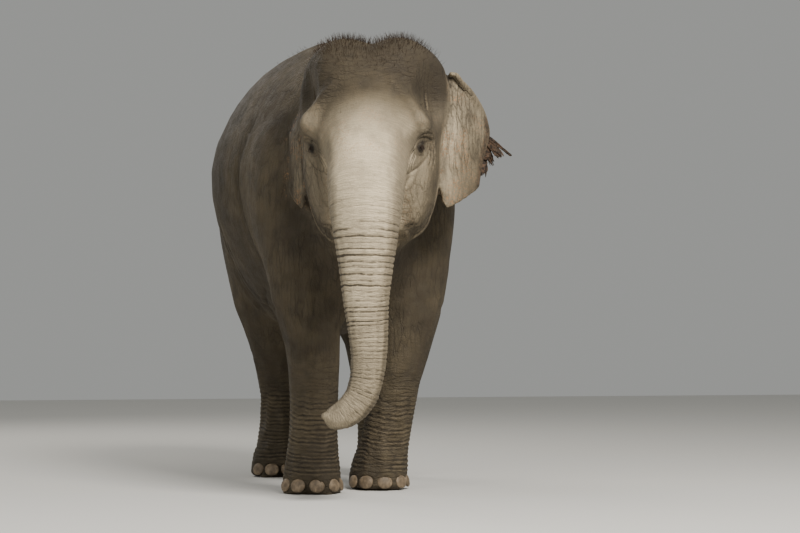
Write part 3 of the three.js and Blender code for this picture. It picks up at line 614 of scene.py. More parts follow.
# %% [markdown]
# ## Folds of the face and body
# The rest of the relief is drawn. A line digs a crease or raises a ridge, and it is given flat, as seen in
# one of a few flat views of the head's left half: from the front, from the side or along the eye's gaze. Jaw
# and ear are drawn from the front too, on papers further back. A mound swells or hollows what lies round a
# point. Both are mirrored, because the two sides of a head match.

# %% Papers, lines and mounds
def paper(origin, out):
    """A view to draw in: its origin, and its axes across, up and out of the paper."""
    out = np.asarray(out, float) / np.linalg.norm(out)
    across = np.cross((0, 0, 1.0), out)
    across /= np.linalg.norm(across)
    return np.asarray(origin, float), np.stack([across, np.cross(out, across), out], 1)


PAPERS = {"front": paper((0, -0.05, 0), (0, -1, 0)), "side": paper((0.12, 0, 0), (1, 0, 0)),
          "eye": paper(EYE_IN_HEAD - 0.10 * GAZE, GAZE), "jaw": paper((0, 0.02, 0), (0, -1, 0)),
          "ear": paper((0, 0.30, 0), (0, -1, 0))}


def drawn_lift(flat, near, stations, width, height):
    """A ridge (height above 0) or crease (below 0) along a flat curve, among places given flat."""
    curve = curve_through([(*station, 0) for station in stations], 8)
    low, high = curve.min(0)[:2] - 3 * width, curve.max(0)[:2] + 3 * width
    close = near & np.all((flat[:, :2] > low) & (flat[:, :2] < high), axis=1)
    _, far = nearest_on(curve, flat[close] * (1, 1, 0))
    lift = np.zeros(len(flat))
    lift[close] = height * dome(far, width)
    return lift


def line_lift(q, view, stations, width, height):
    """A line on one of the papers; what lies behind the paper isn't touched."""
    origin, axes = PAPERS[view]
    flat = (q - origin) @ axes
    return drawn_lift(flat, flat[:, 2] > 0, stations, width, height)


def mound(q, middle, reach):
    """1 in the middle, falling to nothing, with its own reach along x, y and z."""
    return np.exp(-(((q - middle) / reach) ** 2).sum(1))


def creases(points, stretch, size, seed):
    """Wandering creases: 1 in a crease and 0 beside it, long where the stretch is small."""
    return dome(clouds(points * stretch, size, seed), 0.20)


# %% The face, by name
MOUNDS = [  # what it is, middle, reach, height
    ("temple", (0.340, -0.030, 0.04), (0.060, 0.085, 0.15), -0.016),
    ("pouch under the eye", (0.262, -0.235, -0.262), (0.030, 0.05, 0.034), 0.009),
    ("cheekbone", (0.315, -0.080, -0.290), (0.05, 0.10, 0.09), 0.008),
    ("dip between the domes", (0.0, -0.02, 0.42), (0.05, 0.2, 0.10), -0.010),
    ("corner of the mouth", (0.235, -0.235, -0.50), (0.05, 0.05, 0.035), -0.014),
    ("hollow behind the cheek", (0.330, 0.12, -0.46), (0.04, 0.06, 0.12), -0.016),
]
EAR_CREASE = [(0.370, 0.200), (0.384, 0.050), (0.384, -0.100), (0.376, -0.250)]  # flat, from the front
LINES = [  # what it is, view, flat curve, width, height
    ("brow", "front", [(0.150, 0.135), (0.195, 0.090), (0.248, 0.035), (0.292, -0.022), (0.318, -0.075),
                       (0.318, -0.118)], 0.019, 0.008),
    ("behind the brow", "front", [(0.200, 0.165), (0.262, 0.100), (0.300, 0.040)], 0.032, -0.008),
    ("lid fold", "eye", [(-0.060, 0.008), (-0.036, 0.036), (-0.004, 0.050), (0.034, 0.052), (0.062, 0.040),
                         (0.076, 0.016)], 0.0062, -0.0065),
    ("second lid fold", "eye", [(-0.052, 0.040), (-0.010, 0.070), (0.040, 0.074), (0.080, 0.056),
                                (0.096, 0.020)], 0.0060, -0.0042),
    ("under the lid", "eye", [(-0.052, -0.030), (-0.020, -0.040), (0.020, -0.038)], 0.0070, -0.0026),
    ("tear line", "eye", [(-0.056, -0.016), (-0.082, -0.038), (-0.102, -0.074), (-0.112, -0.112),
                          (-0.098, -0.136)], 0.0060, -0.0080),
    ("second tear line", "eye", [(-0.050, -0.036), (-0.072, -0.064), (-0.082, -0.098), (-0.070, -0.122)],
     0.0052, -0.0060),
    ("third tear line", "eye", [(-0.044, -0.046), (-0.056, -0.070), (-0.058, -0.096), (-0.046, -0.116)],
     0.0050, -0.0048),
    ("outer tear line", "eye", [(-0.062, -0.002), (-0.094, -0.026), (-0.122, -0.068), (-0.132, -0.112)],
     0.0050, -0.0056),
    ("under the pouch", "eye", [(-0.100, -0.140), (-0.060, -0.134), (-0.008, -0.100), (0.030, -0.062),
                                (0.052, -0.036)], 0.0090, -0.0050),
    ("behind the eye", "eye", [(0.070, 0.030), (0.080, 0.000), (0.074, -0.042), (0.058, -0.086)],
     0.0052, -0.0052),
    ("further behind the eye", "eye", [(0.092, 0.044), (0.104, 0.000), (0.098, -0.052), (0.080, -0.104)],
     0.0055, -0.0046),
    ("crow's foot", "eye", [(0.062, -0.006), (0.092, -0.016), (0.128, -0.044)], 0.0055, -0.0036),
    ("lower crow's foot", "eye", [(0.056, -0.022), (0.082, -0.048), (0.104, -0.090)], 0.0055, -0.0034),
    ("mouth", "side", [(-0.330, -0.520), (-0.255, -0.510), (-0.195, -0.494)], 0.0090, -0.010),
    ("root of the ear", "ear", EAR_CREASE, 0.024, -0.0045),
]
JAW_LINES = [  # folds that hang from the cheek and meet under the chin, flat, as seen from the front
    [(0.358, -0.330), (0.352, -0.430), (0.336, -0.535), (0.288, -0.612), (0.214, -0.640)],
    [(0.338, -0.430), (0.322, -0.510), (0.285, -0.578), (0.225, -0.612)],
    [(0.312, -0.472), (0.296, -0.540), (0.258, -0.585), (0.209, -0.598)],
    [(0.182, -0.430), (0.177, -0.507), (0.193, -0.577), (0.225, -0.628)],
    [(0.204, -0.465), (0.204, -0.522), (0.220, -0.578), (0.245, -0.606)]]


def jaw_lift(q, share, width, height):
    """The folds of the jaw, which stop where the trunk begins."""
    lift = sum(line_lift(q, "jaw", stations, width, height) for stations in JAW_LINES)
    return lift * (1 - share)


def face_lift(points, _):
    """Mounds, lines, the jaw's folds and the throat's creases."""
    q = mirrored(points)
    lift = np.zeros(len(q))
    head = np.linalg.norm(q / (0.46, 0.55, 0.75), axis=1) < 1.3
    near = q[head]
    drawn = np.zeros(len(near))
    for _, middle, reach, height in MOUNDS:
        drawn += height * mound(near, middle, reach)
    drawn *= ramp(from_eye(near)[0], 0.032, 0.070)
    for _, view, stations, width, height in LINES:
        drawn += line_lift(near, view, stations, width, height)
    drawn += jaw_lift(near, on_trunk(points[head])[2], width=0.0140, height=-0.0045)
    throat = mound(near, (0.20, -0.10, -0.60), (0.16, 0.22, 0.14))
    drawn -= 0.0060 * throat * creases(near, (1, 0.45, 0.8), 0.045, 5)
    lift[head] = drawn
    return lift


# %% The body's folds
FLANK_LINES = [  # what it is, curve from the side in the body's measures, width, height
    ("elbow", [(0.03, 0.962), (0.16, 0.945), (0.30, 1.00), (0.36, 1.12)], 0.018, -0.012),
    ("above the elbow", [(0.08, 1.070), (0.16, 1.055), (0.25, 1.07), (0.36, 1.19)], 0.018, -0.006),
    ("behind the shoulder", [(0.42, 1.95), (0.47, 1.70), (0.45, 1.45), (0.40, 1.20)], 0.030, -0.010),
    ("flank flap", [(0.72, 0.905), (0.90, 0.900), (1.05, 0.945), (1.13, 1.08), (1.14, 1.26)], 0.026, 0.016),
    ("in front of the thigh", [(0.80, 0.96), (0.95, 0.985), (1.03, 1.08), (1.04, 1.26), (1.00, 1.42)],
     0.017, -0.014),
    ("second flank fold", [(0.70, 1.00), (0.86, 1.03), (0.94, 1.14), (0.94, 1.32)], 0.016, -0.008),
    ("knee fold", [(0.58, 0.985), (0.74, 0.920), (0.90, 0.830), (1.00, 0.720)], 0.015, -0.020),
    ("second knee fold", [(0.56, 0.930), (0.70, 0.865), (0.84, 0.780), (0.92, 0.690)], 0.013, -0.016),
    ("between the knee folds", [(0.57, 0.958), (0.72, 0.892), (0.87, 0.805), (0.96, 0.705)], 0.012, 0.010),
    ("upper knee fold", [(0.60, 1.060), (0.76, 0.995), (0.92, 0.900), (1.04, 0.780)], 0.015, -0.012),
    ("behind the knee", [(1.52, 0.74), (1.44, 0.66), (1.36, 0.70)], 0.020, -0.008),
]
# The lines round an ankle: height and depth of each.
ANKLES = np.array([(0.095 + 0.0235 * i + 0.003 * math.sin(5 * i), 0.0036 + 0.0016 * math.sin(2.1 * i) ** 2)
                   for i in range(24)])


def flank_lift(points):
    """The drawn folds of flanks, elbows and knees, on both sides."""
    q = points - BODY
    beside, aside = q[:, [1, 2, 0]], np.abs(q[:, 0]) > 0.10
    return sum(drawn_lift(beside, aside, *line) for _, *line in FLANK_LINES)


def body_lift(points, outward_here):
    """The drawn folds, the ankles' lines, fuller flanks, and creases in armpit, flank and neck."""
    q = points - BODY
    both = np.abs(q)
    lift = flank_lift(points)
    trunk = on_trunk(points)[2]
    leg = (q[:, 2] < 0.66) & (trunk < 0.5)
    fall = ramp(q[leg, 2], 0.66, 0.36)
    sag = 0.030 * np.maximum(0, -outward_here[leg, 1]) * ramp(q[leg, 2], 0.10, 0.30)
    lift[leg] += groove_lift(points[leg], q[leg, 2] + sag, ANKLES, wander=0.010, width=0.0060) * fall
    lift += 0.022 * mound(both, (0.62, 0.75, 1.80), (0.30, 0.75, 0.24))
    lift -= 0.022 * mound(both, (0.62, 0.75, 1.22), (0.30, 0.75, 0.24))
    armpit = mound(both, (0.28, 0.25, 1.00), (0.20, 0.25, 0.20))
    flank = mound(both, (0.42, 0.98, 1.02), (0.25, 0.20, 0.20))
    neck = mound(both, (0.30, 0.02, 1.50), (0.25, 0.20, 0.30))
    deep = np.maximum(np.maximum(armpit, flank), 0.8 * neck)
    on = deep > 0.02
    lift[on] -= 0.0060 * deep[on] ** 1.3 * creases(points[on], (1, 0.7, 0.30), 0.070, 8)
    return lift


# %% Sculpt it all
def sculpt(thing):
    """Adds the three kinds of relief one after another; the soles stay flat."""
    for lift in (face_lift, ring_lift, body_lift):
        points, way = places(thing.data), outward(thing.data)
        moved_out = points + way * lift(points, way)[:, None]
        moved_out[:, 2] = np.where(points[:, 2] < SOLE, points[:, 2], np.maximum(moved_out[:, 2], 0.001))
        move_to(thing.data, moved_out)


sculpt(skin)
clear_eyes(skin, reach=0.048, slack=0.020)
print("sculpted; height", round(float(places(skin.data)[:, 2].max()), 3), "m")

# %% [markdown]
# ## What the hide's finish follows
# The material is a pattern of nodes, and it must know where it is. Numbers kept on the points tell it: how
# hollow a place is, how far along and round the trunk it lies, which way its wrinkles run, and how pale it
# is. They are written while the net is still fine, and they stay with the points when it is thinned.

# %% Where the hide is dark
TEARS = [[(-0.046, -0.014), (-0.074, -0.044), (-0.098, -0.090), (-0.110, -0.150), (-0.100, -0.230)],
         [(-0.050, -0.034), (-0.070, -0.064), (-0.078, -0.110)]]  # flat, in the eye's view
EAR_GAP = [(0.374, -0.220), (0.362, -0.320), (0.356, -0.440)]  # below the crease, flat, from the front
SCAR = (0.415, 0, -0.178)  # in the head's axes, at any depth


def socket_shade(q):
    """The dark, slanted almond round an eye, from its front corner low down to its back corner."""
    origin, axes = PAPERS["eye"]
    flat = (q - origin) @ axes
    slant = math.radians(24)
    wide = flat[:, 0] * math.cos(slant) + flat[:, 1] * math.sin(slant)
    tall = flat[:, 1] * math.cos(slant) - flat[:, 0] * math.sin(slant)
    near = (flat[:, 2] > 0) & (np.linalg.norm(q - EYE_IN_HEAD, axis=1) < 0.16)
    core = np.exp(-(wide / 0.039) ** 4 - (tall / 0.026) ** 4)
    halo = np.exp(-((wide + 0.004) / 0.066) ** 2 - ((tall - 0.006) / 0.050) ** 2)
    return near * np.maximum(core, 0.62 * halo)


def painted_shade_and_scar(points, face, share, ear):
    """Painted shade in sockets, creases, hollows and on the shaded side, and an old scar: the strongest
    reason wins.
    """
    q, side = mirrored(points), in_head(points)[:, 0]
    # painted shade: the animal's right side, away from the key lamp, is darker
    shaded = side < 0
    scar = np.linalg.norm((in_head(points) - SCAR) * (1, 0, 0.6), axis=1)
    reasons = [
        # painted shade in the socket round each eye
        np.minimum(1, (1 + 0.2 * shaded) * socket_shade(q)),
        # painted shade in the tear wrinkles below each eye
        *(line_lift(q, "eye", tears, width=0.013, height=0.50) * (1 - share) for tears in TEARS),
        # painted shade in the temples, in the hollow beside the trunk on the shaded side, and in the folds of
        # the jaw
        0.34 * face * ramp(q[:, 0], 0.28, 0.34) * (1 - ear),
        0.40 * shaded * face * (1 - share) * dome(q[:, 0] - 0.25, 0.06) * ramp(q[:, 2], -0.12, -0.24),
        np.minimum(jaw_lift(q, share, width=0.022, height=0.18), 0.30),
        # painted shade in the ear's root and the gap below it, and an old scar on the left ear, which is its
        # own colour
        line_lift(q, "ear", EAR_CREASE, width=0.026, height=0.38),
        line_lift(q, "ear", EAR_GAP, width=0.020, height=0.60),
        0.45 * dome(scar, 0.016) * ear,
        # painted shade in the deep folds of the body
        np.clip(-42 * flank_lift(points), 0, 0.7)]  # the deep folds of the body
    return np.max(reasons, axis=0)


# %% Numbers for the finish
HIDE_NUMBERS = ("hollow", "along", "around", "trunk", "level", "upright", "pale", "speckle", "dark", "torn")


def write_hide_numbers(mesh, **given):
    """All the numbers that the hide's finish reads: one value or one for each point, and 0 if not given."""
    for name in HIDE_NUMBERS:
        write_number(mesh, name, np.broadcast_to(given.get(name, 0.0), len(mesh.vertices)))


def note_places(thing):
    """Works out all the numbers from where each point is and how it faces; hollows are in centimetres."""
    mesh = thing.data
    points, way = places(mesh), outward(mesh)
    soft = softened(thing, 10)
    hollow = ((soft - points) * way).sum(1)
    along, around, share = on_trunk(points)
    q = in_head(points)
    face = ramp(np.linalg.norm(q / (0.42, 0.50, 0.66), axis=1), 1.25, 0.95)
    ear = ramp(distance_to(EARS, points, 0.06), 0.06, 0.01)
    leg = ramp(points[:, 2], 0.85, 0.50) * (1 - ramp(share, 0.1, 0.6))
    front = ramp(-(way @ TURN)[:, 1], 0.35, 0.85)
    brow = face * front * (1 - ear)
    middle = front * ramp(np.abs(q[:, 0]), 0.30, 0.12)
    # painted light as well as lost pigment: trunk and forehead are paler where they face forward, towards the
    # key lamp
    pale = np.maximum(share * ramp(along, 0.02, 0.38) * (0.35 + 0.65 * front),
                      face * middle * ramp(q[:, 2], 0.05, -0.28))
    pale *= 1 - 0.50 * ramp(along, 0.85, 1.55) * share
    # the cheeks are paler where they face forward, partly as painted light
    cheek = 0.35 * face * (1 - share) * (0.3 + 0.7 * front) * ramp(q[:, 2], 0.12, -0.10)
    # painted light: the left ear is made much paler than the right one, which is left as if in shade
    pale = np.maximum(pale, cheek) + (0.05 + 0.36 * (q[:, 0] > 0)) * ear
    speckle = np.maximum(0.9 * ear, 0.55 * pale * face)
    # painted shade, and the darkening of an old scar
    dark = painted_shade_and_scar(points, face, share, ear)
    rim = np.interp(-q[:, 2], -torn_rim[:, 2], torn_rim[:, 0])
    torn = 0.7 * ramp(q[:, 0], rim - 0.012, rim + 0.003)
    torn *= (q[:, 2] < torn_rim[0, 2]) & (q[:, 2] > torn_rim[-1, 2])
    cheeks = ramp(np.abs(q[:, 0]), 0.16, 0.24) * ramp(q[:, 2], 0.05, -0.05)
    level = np.maximum(leg, brow * (1 - share) * (1 - cheeks))
    upright = (1 - level) * (1 - share)
    write_hide_numbers(mesh, hollow=hollow * 100, along=along, around=around, trunk=share, level=level,
                       upright=upright, pale=pale, speckle=speckle, dark=dark, torn=torn)


note_places(skin)
print("numbers on the skin:", [a.name for a in skin.data.attributes if a.data_type == "FLOAT"])

# %% [markdown]
# ## A net as fine as each place needs
# Half a million points are too many for a part that others will load. The Decimate modifier merges the
# shortest edges first, and a vertex group tells it where edges may grow long: short on the trunk and face,
# long on the smooth barrel of the body.

# %% Thin the net
def edge_lengths(points):
    """The edge that each place should have, in metres."""
    _, _, trunk_share = on_trunk(points)
    q = mirrored(points)
    body = np.abs(points - BODY)
    head = ramp(np.linalg.norm(q / (0.46, 0.5, 0.66), axis=1), 1.5, 1.0)
    eye = ramp(np.linalg.norm(q - EYE_IN_HEAD, axis=1), 0.20, 0.13)
    ear = ramp(distance_to(EARS, points, 0.08), 0.08, 0.02)
    tail = ramp(distance_to(TAIL_SOLIDS, points, 0.08), 0.08, 0.02)
    ankle = ramp(points[:, 2], 0.62, 0.42)
    low_trunk = trunk_share * ramp(q[:, 2], -0.95, -1.15)
    folds = ramp(np.linalg.norm((body - (0.30, 0.55, 1.05)) / (0.35, 0.75, 0.32), axis=1), 1.2, 0.8)
    length = 0.034 - 0.018 * ramp(points[:, 2], 1.0, 0.35)
    for share, short in ((folds, 0.0145), (head, 0.0102), (tail, 0.010), (ear, 0.0105), (ankle, 0.0098),
                         (trunk_share, 0.0082), (low_trunk, 0.0066), (eye, 0.0058)):
        length += share * (np.minimum(short, length) - length)
    return length


SHORTEST_EDGE = 0.0055
MOST_TRIANGLES = 194000


def thin_out(thing, most):
    """Leaves at most so many triangles, and the longest edges where the body is smooth."""
    write_group(thing, "loose", 1 - SHORTEST_EDGE / edge_lengths(places(thing.data)))
    thin = thing.modifiers.new("Thin", "DECIMATE")
    thin.ratio, thin.vertex_group, thin.vertex_group_factor = most / triangles(thing.data), "loose", 1.0
    bake_modifiers(thing)
    thing.vertex_groups.clear()


thin_out(skin, MOST_TRIANGLES)
skin.data.shade_smooth()
print("skin:", triangles(skin.data), "triangles, numbers kept:",
      sum(a.data_type == "FLOAT" for a in skin.data.attributes))

# %% [markdown]
# ## Building materials
# A material is a graph of nodes. The helper makes one node, sets it up, wires what it is given and hands back
# its output, so a pattern reads like arithmetic.

# %% Node helpers
class Finish:
    """A material that is being built: each call adds one node and returns its output."""

    def __init__(self, name):
        self.material = bpy.data.materials.new(name)
        self.material.use_nodes = True
        self.tree = self.material.node_tree
        self.surface = self.tree.nodes["Principled BSDF"]

    def node(self, kind, inputs=(), out=0, **settings):
        made = self.tree.nodes.new("ShaderNode" + kind)
        for name, value in settings.items():
            setattr(made, name, value)
        for socket, value in dict(inputs).items():
            self.set(made.inputs[socket], value)
        return made.outputs[out]

    def set(self, socket, value):
        if isinstance(value, bpy.types.NodeSocket):
            self.tree.links.new(value, socket)
        else:
            socket.default_value = value

    def done(self, inputs):
        """Sets or wires the surface's own inputs and hands back the material."""
        for name, value in inputs.items():
            self.set(self.surface.inputs[name], value)
        return self.material

    def number(self, name):
        return self.node("Attribute", out="Fac", attribute_name=name)

    def place(self):
        return self.node("TexCoord", out="Object")

    def stretch(self, vector, scale):
        return self.node("Mapping", {"Vector": vector, "Scale": scale})

    def calc(self, way, a, b, c=0.0):
        return self.node("Math", {0: a, 1: b, 2: c}, operation=way)

    def step(self, value, start, end, low=0.0, high=1.0):
        """A smooth step from low to high while the value goes from start to end."""
        return self.node("MapRange", {"Value": value, "From Min": start, "From Max": end, "To Min": low,
                                      "To Max": high}, interpolation_type="SMOOTHSTEP")

    def noise(self, vector, size, detail):
        return self.node("TexNoise", {"Vector": vector, "Scale": 1 / size, "Detail": detail})

    def cracks(self, vector, size):
        """0 in the lines between cells about `size` across, growing inside them."""
        return self.node("TexVoronoi", {"Vector": vector, "Scale": 1 / size}, feature="DISTANCE_TO_EDGE")

    def blend(self, share, a, b):
        made = self.tree.nodes.new("ShaderNodeMix")
        made.data_type = "RGBA"
        for socket, value in zip((made.inputs[0], made.inputs[6], made.inputs[7]), (share, a, b)):
            self.set(socket, value)
        return made.outputs[2]

    def shift(self, vector, other, amount):
        """Bends a pattern by a noise, so that its lines waver."""
        middle = self.node("VectorMath", {0: other, 1: (0.5, 0.5, 0.5)}, operation="SUBTRACT")
        scaled = self.node("VectorMath", {0: middle, "Scale": amount}, operation="SCALE")
        return self.node("VectorMath", {0: vector, 1: scaled}, operation="ADD")


def linear(*srgb):
    """A colour as seen on a screen (0 to 255), in the linear values that shaders use."""
    return tuple((v / 255 / 12.92 if v <= 10 else ((v / 255 + 0.055) / 1.055) ** 2.4) for v in srgb) + (1,)


# %% [markdown]
# ## The hide
# Elephant hide is thick and nearly bare. It is crazed all over by fine cracks that hold mud and water, and
# long wrinkles run with the way each part bends: up and down the flanks, level round the ankles, across the
# trunk. The colour is a warm grey that dust turns tan, paler on trunk and forehead, with pink-brown speckles
# where pigment is lost; the paleness is partly painted light where they face forward, and the left ear is
# painted lighter than the right. All of it is one graph: height for the bump, and the same lines darken the
# colour as painted shade, as hollows do, while ridges are lightened as painted light.

# %% Hide
def hide_finish():
    f = Finish("hide")
    here = f.place()
    waver = f.node("TexNoise", {"Vector": here, "Scale": 9.0, "Detail": 2.0}, out="Color")
    bent = f.shift(here, waver, 0.035)
    fine = f.node("TexNoise", {"Vector": here, "Scale": 60.0, "Detail": 3.0}, out="Color")
    finely = f.shift(here, fine, 0.006)
    trunk, level, upright, hollow = (f.number(n) for n in ("trunk", "level", "upright", "hollow"))

    def stretched(scale, size, width):
        """Lines of a stretched cell pattern: 1 in a line, 0 beside it."""
        net = f.cracks(f.stretch(bent, scale), size)
        return f.step(net, 0.0, width, 1.0, 0.0)

    down = f.calc("ADD", stretched((1, 1, 0.13), 0.028, 0.15),
                  f.calc("MULTIPLY", stretched((1.0, 1.0, 0.35), 0.013, 0.20), 0.5))
    across = f.calc("ADD", stretched((0.22, 0.22, 1), 0.026, 0.16),
                    f.calc("MULTIPLY", stretched((0.45, 0.45, 1), 0.012, 0.22), 0.5))
    along = f.number("along")
    round_it = f.node("CombineXYZ", {"X": f.calc("MULTIPLY", f.number("around"), 0.013), "Y": along})
    round_bent = f.shift(round_it, waver, 0.012)
    rings = f.calc("ADD", f.step(f.cracks(round_bent, 0.011), 0.0, 0.20, 0.7, 0.0),
                   f.step(f.cracks(f.stretch(round_bent, (2.2, 1, 1)), 0.0055), 0.0, 0.25, 0.35, 0.0))
    rings = f.calc("MULTIPLY", rings, f.step(along, 0.25, 0.80, 0.45, 1.0))
    lines = f.calc("MULTIPLY", down, upright)
    lines = f.calc("MULTIPLY_ADD", across, f.calc("MULTIPLY", level, 1.25), lines)
    lines = f.calc("MULTIPLY", lines, f.step(f.noise(here, 0.22, 2.0), 0.38, 0.62, 0.45, 1.0))
    lines = f.calc("MULTIPLY", lines, f.calc("MULTIPLY_ADD", f.number("speckle"), 0.6, 1.0))
    lines = f.calc("MULTIPLY_ADD", rings, trunk, lines)
    crazed = f.step(f.cracks(finely, 0.0095), 0.0, 0.13, 1.0, 0.0)
    grain = f.noise(here, 0.004, 4.0)

    base = f.blend(f.step(f.noise(here, 0.42, 3.0), 0.35, 0.68), linear(64, 56, 43), linear(86, 76, 58))
    base = f.blend(f.step(f.noise(here, 0.11, 4.0), 0.42, 0.70, 0.0, 0.45), base, linear(50, 44, 34))
    # lost pigment, and painted light on the forward-facing trunk, forehead and cheeks and on the left ear
    paler = f.calc("MULTIPLY", f.number("pale"), f.step(f.noise(here, 0.16, 3.0), 0.30, 0.60, 0.75, 1.0))
    base = f.blend(paler, base, linear(216, 199, 168))
    mottled = f.calc("MULTIPLY", f.number("speckle"), f.step(f.noise(here, 0.06, 4.0), 0.46, 0.64))
    base = f.blend(f.calc("MULTIPLY", mottled, 0.34), base, linear(88, 79, 64))
    spots = f.step(f.noise(finely, 0.010, 2.0), 0.52, 0.62)
    patches = f.step(f.noise(here, 0.13, 2.0), 0.42, 0.60)
    spots = f.calc("MULTIPLY", spots, f.calc("MULTIPLY", f.number("speckle"), patches))
    base = f.blend(f.calc("MULTIPLY", spots, 0.7), base, linear(174, 128, 86))
    # the torn margin's own brown, kept dark partly as painted shade, since it hangs in shadow behind the ear
    torn_brown_and_shade = f.blend(f.step(f.noise(finely, 0.02, 3.0), 0.35, 0.65), linear(34, 26, 20), linear(86, 66, 50))
    base = f.blend(f.number("torn"), base, torn_brown_and_shade)
    # painted shade: the wrinkle lines, fine cracks and hollows are darkened
    crease_and_hollow_shade = f.calc("ADD", f.calc("MULTIPLY", lines, 0.30), f.calc("MULTIPLY", crazed, 0.12))
    crease_and_hollow_shade = f.calc("ADD", crease_and_hollow_shade, f.step(hollow, 0.01, 0.18, 0.0, 0.75))
    base = f.blend(f.calc("MINIMUM", crease_and_hollow_shade, 0.88), base, linear(40, 34, 26))
    # painted light: ridges and bulges, where the hollow number is below 0, are lightened
    base = f.blend(f.step(hollow, -0.02, -0.22, 0.0, 0.25), base, linear(150, 134, 108))
    # painted shade from the dark number, and the darkening of the ear's scar
    base = f.blend(f.calc("MULTIPLY", f.number("dark"), 0.92), base, linear(30, 25, 20))

    height = f.calc("MULTIPLY", lines, -0.0022)
    height = f.calc("MULTIPLY_ADD", crazed, -0.0007, height)
    height = f.calc("MULTIPLY_ADD", grain, 0.0006, height)
    height = f.calc("MULTIPLY_ADD", f.noise(bent, 0.016, 3.0), 0.0026, height)
    relief = f.node("Bump", {"Height": height, "Strength": 1.0, "Distance": 1.0})
    return f.done({"Base Color": base, "Normal": relief, "Specular IOR Level": 0.32,
                   "Roughness": f.step(f.noise(here, 0.05, 3.0), 0.3, 0.7, 0.72, 0.88)})


hide = hide_finish()
skin.data.materials.clear()
skin.data.materials.append(hide)
print("hide:", len(hide.node_tree.nodes), "nodes")

# %% [markdown]
# ## Torn strips
# The torn margin of the left ear hangs in ragged strips. They are thinner than the skin's net could hold, so
# they are sheets of their own that start inside the margin. Every thread across a strip ends at its own
# length, which frays the hem, and the strip turns and buckles on its way to the tip.

# %% Torn strips
STRIPS = [  # heights where it starts, its tip (out and height), degrees it turns, tip's width, fraying, curl
    (-0.076, -0.104, (0.684, -0.192), 45, 0.16, 0.02, 0.012),
    (-0.086, -0.122, (0.640, -0.205), 50, 0.95, 0.16, -0.030),
    (-0.108, -0.142, (0.590, -0.248), 88, 0.75, 0.28, 0.020),
    (-0.126, -0.310, (0.572, -0.212), 0, 0.74, 0.16, 0.022),
    (-0.150, -0.215, (0.585, -0.205), 30, 0.45, 0.30, -0.016)]
THREADS, STEPS = 17, 27  # threads across a strip, and points along each
STRIP_HALF = 0.0021  # half a strip's thickness
STRIP_INSIDE = (0.008, 0.016)  # how far inside the margin and in front of it a strip starts


def torn_strip(number, high, low, tip, turn, tip_width, fray, curl):
    """A ragged ribbon of hide from a stretch of the margin to its tip."""
    dice = np.random.default_rng(60 + number)
    z = np.linspace(high, low, THREADS)
    start = np.stack([np.interp(-z, -torn_rim[:, 2], torn_rim[:, axis]) for axis in (0, 1)] + [z], 1)
    start[:, :2] -= STRIP_INSIDE
    middle = start.mean(0)
    t = np.linspace(0, 1, STEPS)
    grid = np.empty((THREADS, STEPS, 3))
    for i, thread in enumerate(start):
        at = t * (1 - fray * dice.uniform(0, 1))
        wide = 1 + (tip_width - 1) * at**0.8 + 0.12 * np.sin(9 * at + 2 * number) * at
        if i in (0, THREADS - 1):
            wide += dice.normal(0, 0.07, STEPS) * np.minimum(1, 4 * t)
        aside, angle = (thread[2] - middle[2]) * wide, np.radians(turn) * np.minimum(1, 1.6 * at)
        grid[i, :, 0] = thread[0] + (tip[0] - thread[0]) * at + aside * np.sin(angle)
        buckle = 0.007 * np.sin(7 * at + 0.55 * i + 2 * number)
        grid[i, :, 1] = thread[1] + 0.02 * at + curl * at**2 + buckle * at
        grid[i, :, 2] = middle[2] + (tip[1] - middle[2]) * at**1.15 + aside * np.cos(angle)
    return sheet_mesh(f"strip_{number}", grid, np.full((THREADS, STEPS), STRIP_HALF), 1)


strips = copies("torn_strips", (), [torn_strip(number, *row) for number, row in enumerate(STRIPS)])
work = bmesh.new()
work.from_mesh(strips.data)
bmesh.ops.recalc_face_normals(work, faces=work.faces)
work.to_mesh(strips.data)
work.free()
# the strips take the torn brown, which is partly painted shade
write_hide_numbers(strips.data, upright=1.0, torn=1.0)
strips.data.shade_smooth()
strips.data.materials.append(hide)
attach(strips, "root")
print("torn strips:", len(strips.data.polygons), "faces")

# %% [markdown]
# ## Eyes
# An elephant's eye is small and dark, with a brown iris and long lashes. Each is a true ball under a clear
# coat, and a number on its points, the angle from the middle of its gaze, lets the material draw pupil, iris
# and rim.

# %% Eyes
def eye_finish():
    f = Finish("eye")
    gaze = f.number("gaze")
    rays = f.noise(f.place(), 0.0016, 3.0)
    iris = f.blend(rays, linear(20, 12, 8), linear(40, 24, 13))
    colour = f.blend(f.step(gaze, 0.20, 0.24), linear(4, 3, 3), iris)
    colour = f.blend(f.step(gaze, 0.50, 0.60), colour, linear(16, 11, 9))
    return f.done({"Base Color": colour, "Roughness": 0.30, "Specular IOR Level": 0.2, "Coat Weight": 0.3,
                   "Coat Roughness": 0.05})


EYEBALL_SHARE = 0.995  # of its solid's radius
eye_material = eye_finish()
for side, out in SIDES.items():
    work = bmesh.new()
    bmesh.ops.create_uvsphere(work, u_segments=40, v_segments=28, radius=EYE_RADIUS * EYEBALL_SHARE)
    bmesh.ops.translate(work, verts=work.verts, vec=Vector(EYE_AT[side]))
    mesh = finished(work, f"eyeball_{side}")
    gaze = TURN @ (GAZE * (out, 1, 1))
    arm = places(mesh) - EYE_AT[side]
    write_number(mesh, "gaze", np.arccos(np.clip(arm @ gaze / np.linalg.norm(arm, axis=1), -1, 1)))
    mesh.shade_smooth()
    mesh.materials.append(eye_material)
    eyeball = new_object(f"eyeball_{side}", mesh)
    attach(eyeball, "root")
    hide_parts(f"eye_{side}")
print("eyes: radius", round(EYE_RADIUS * 1000, 1), "mm")

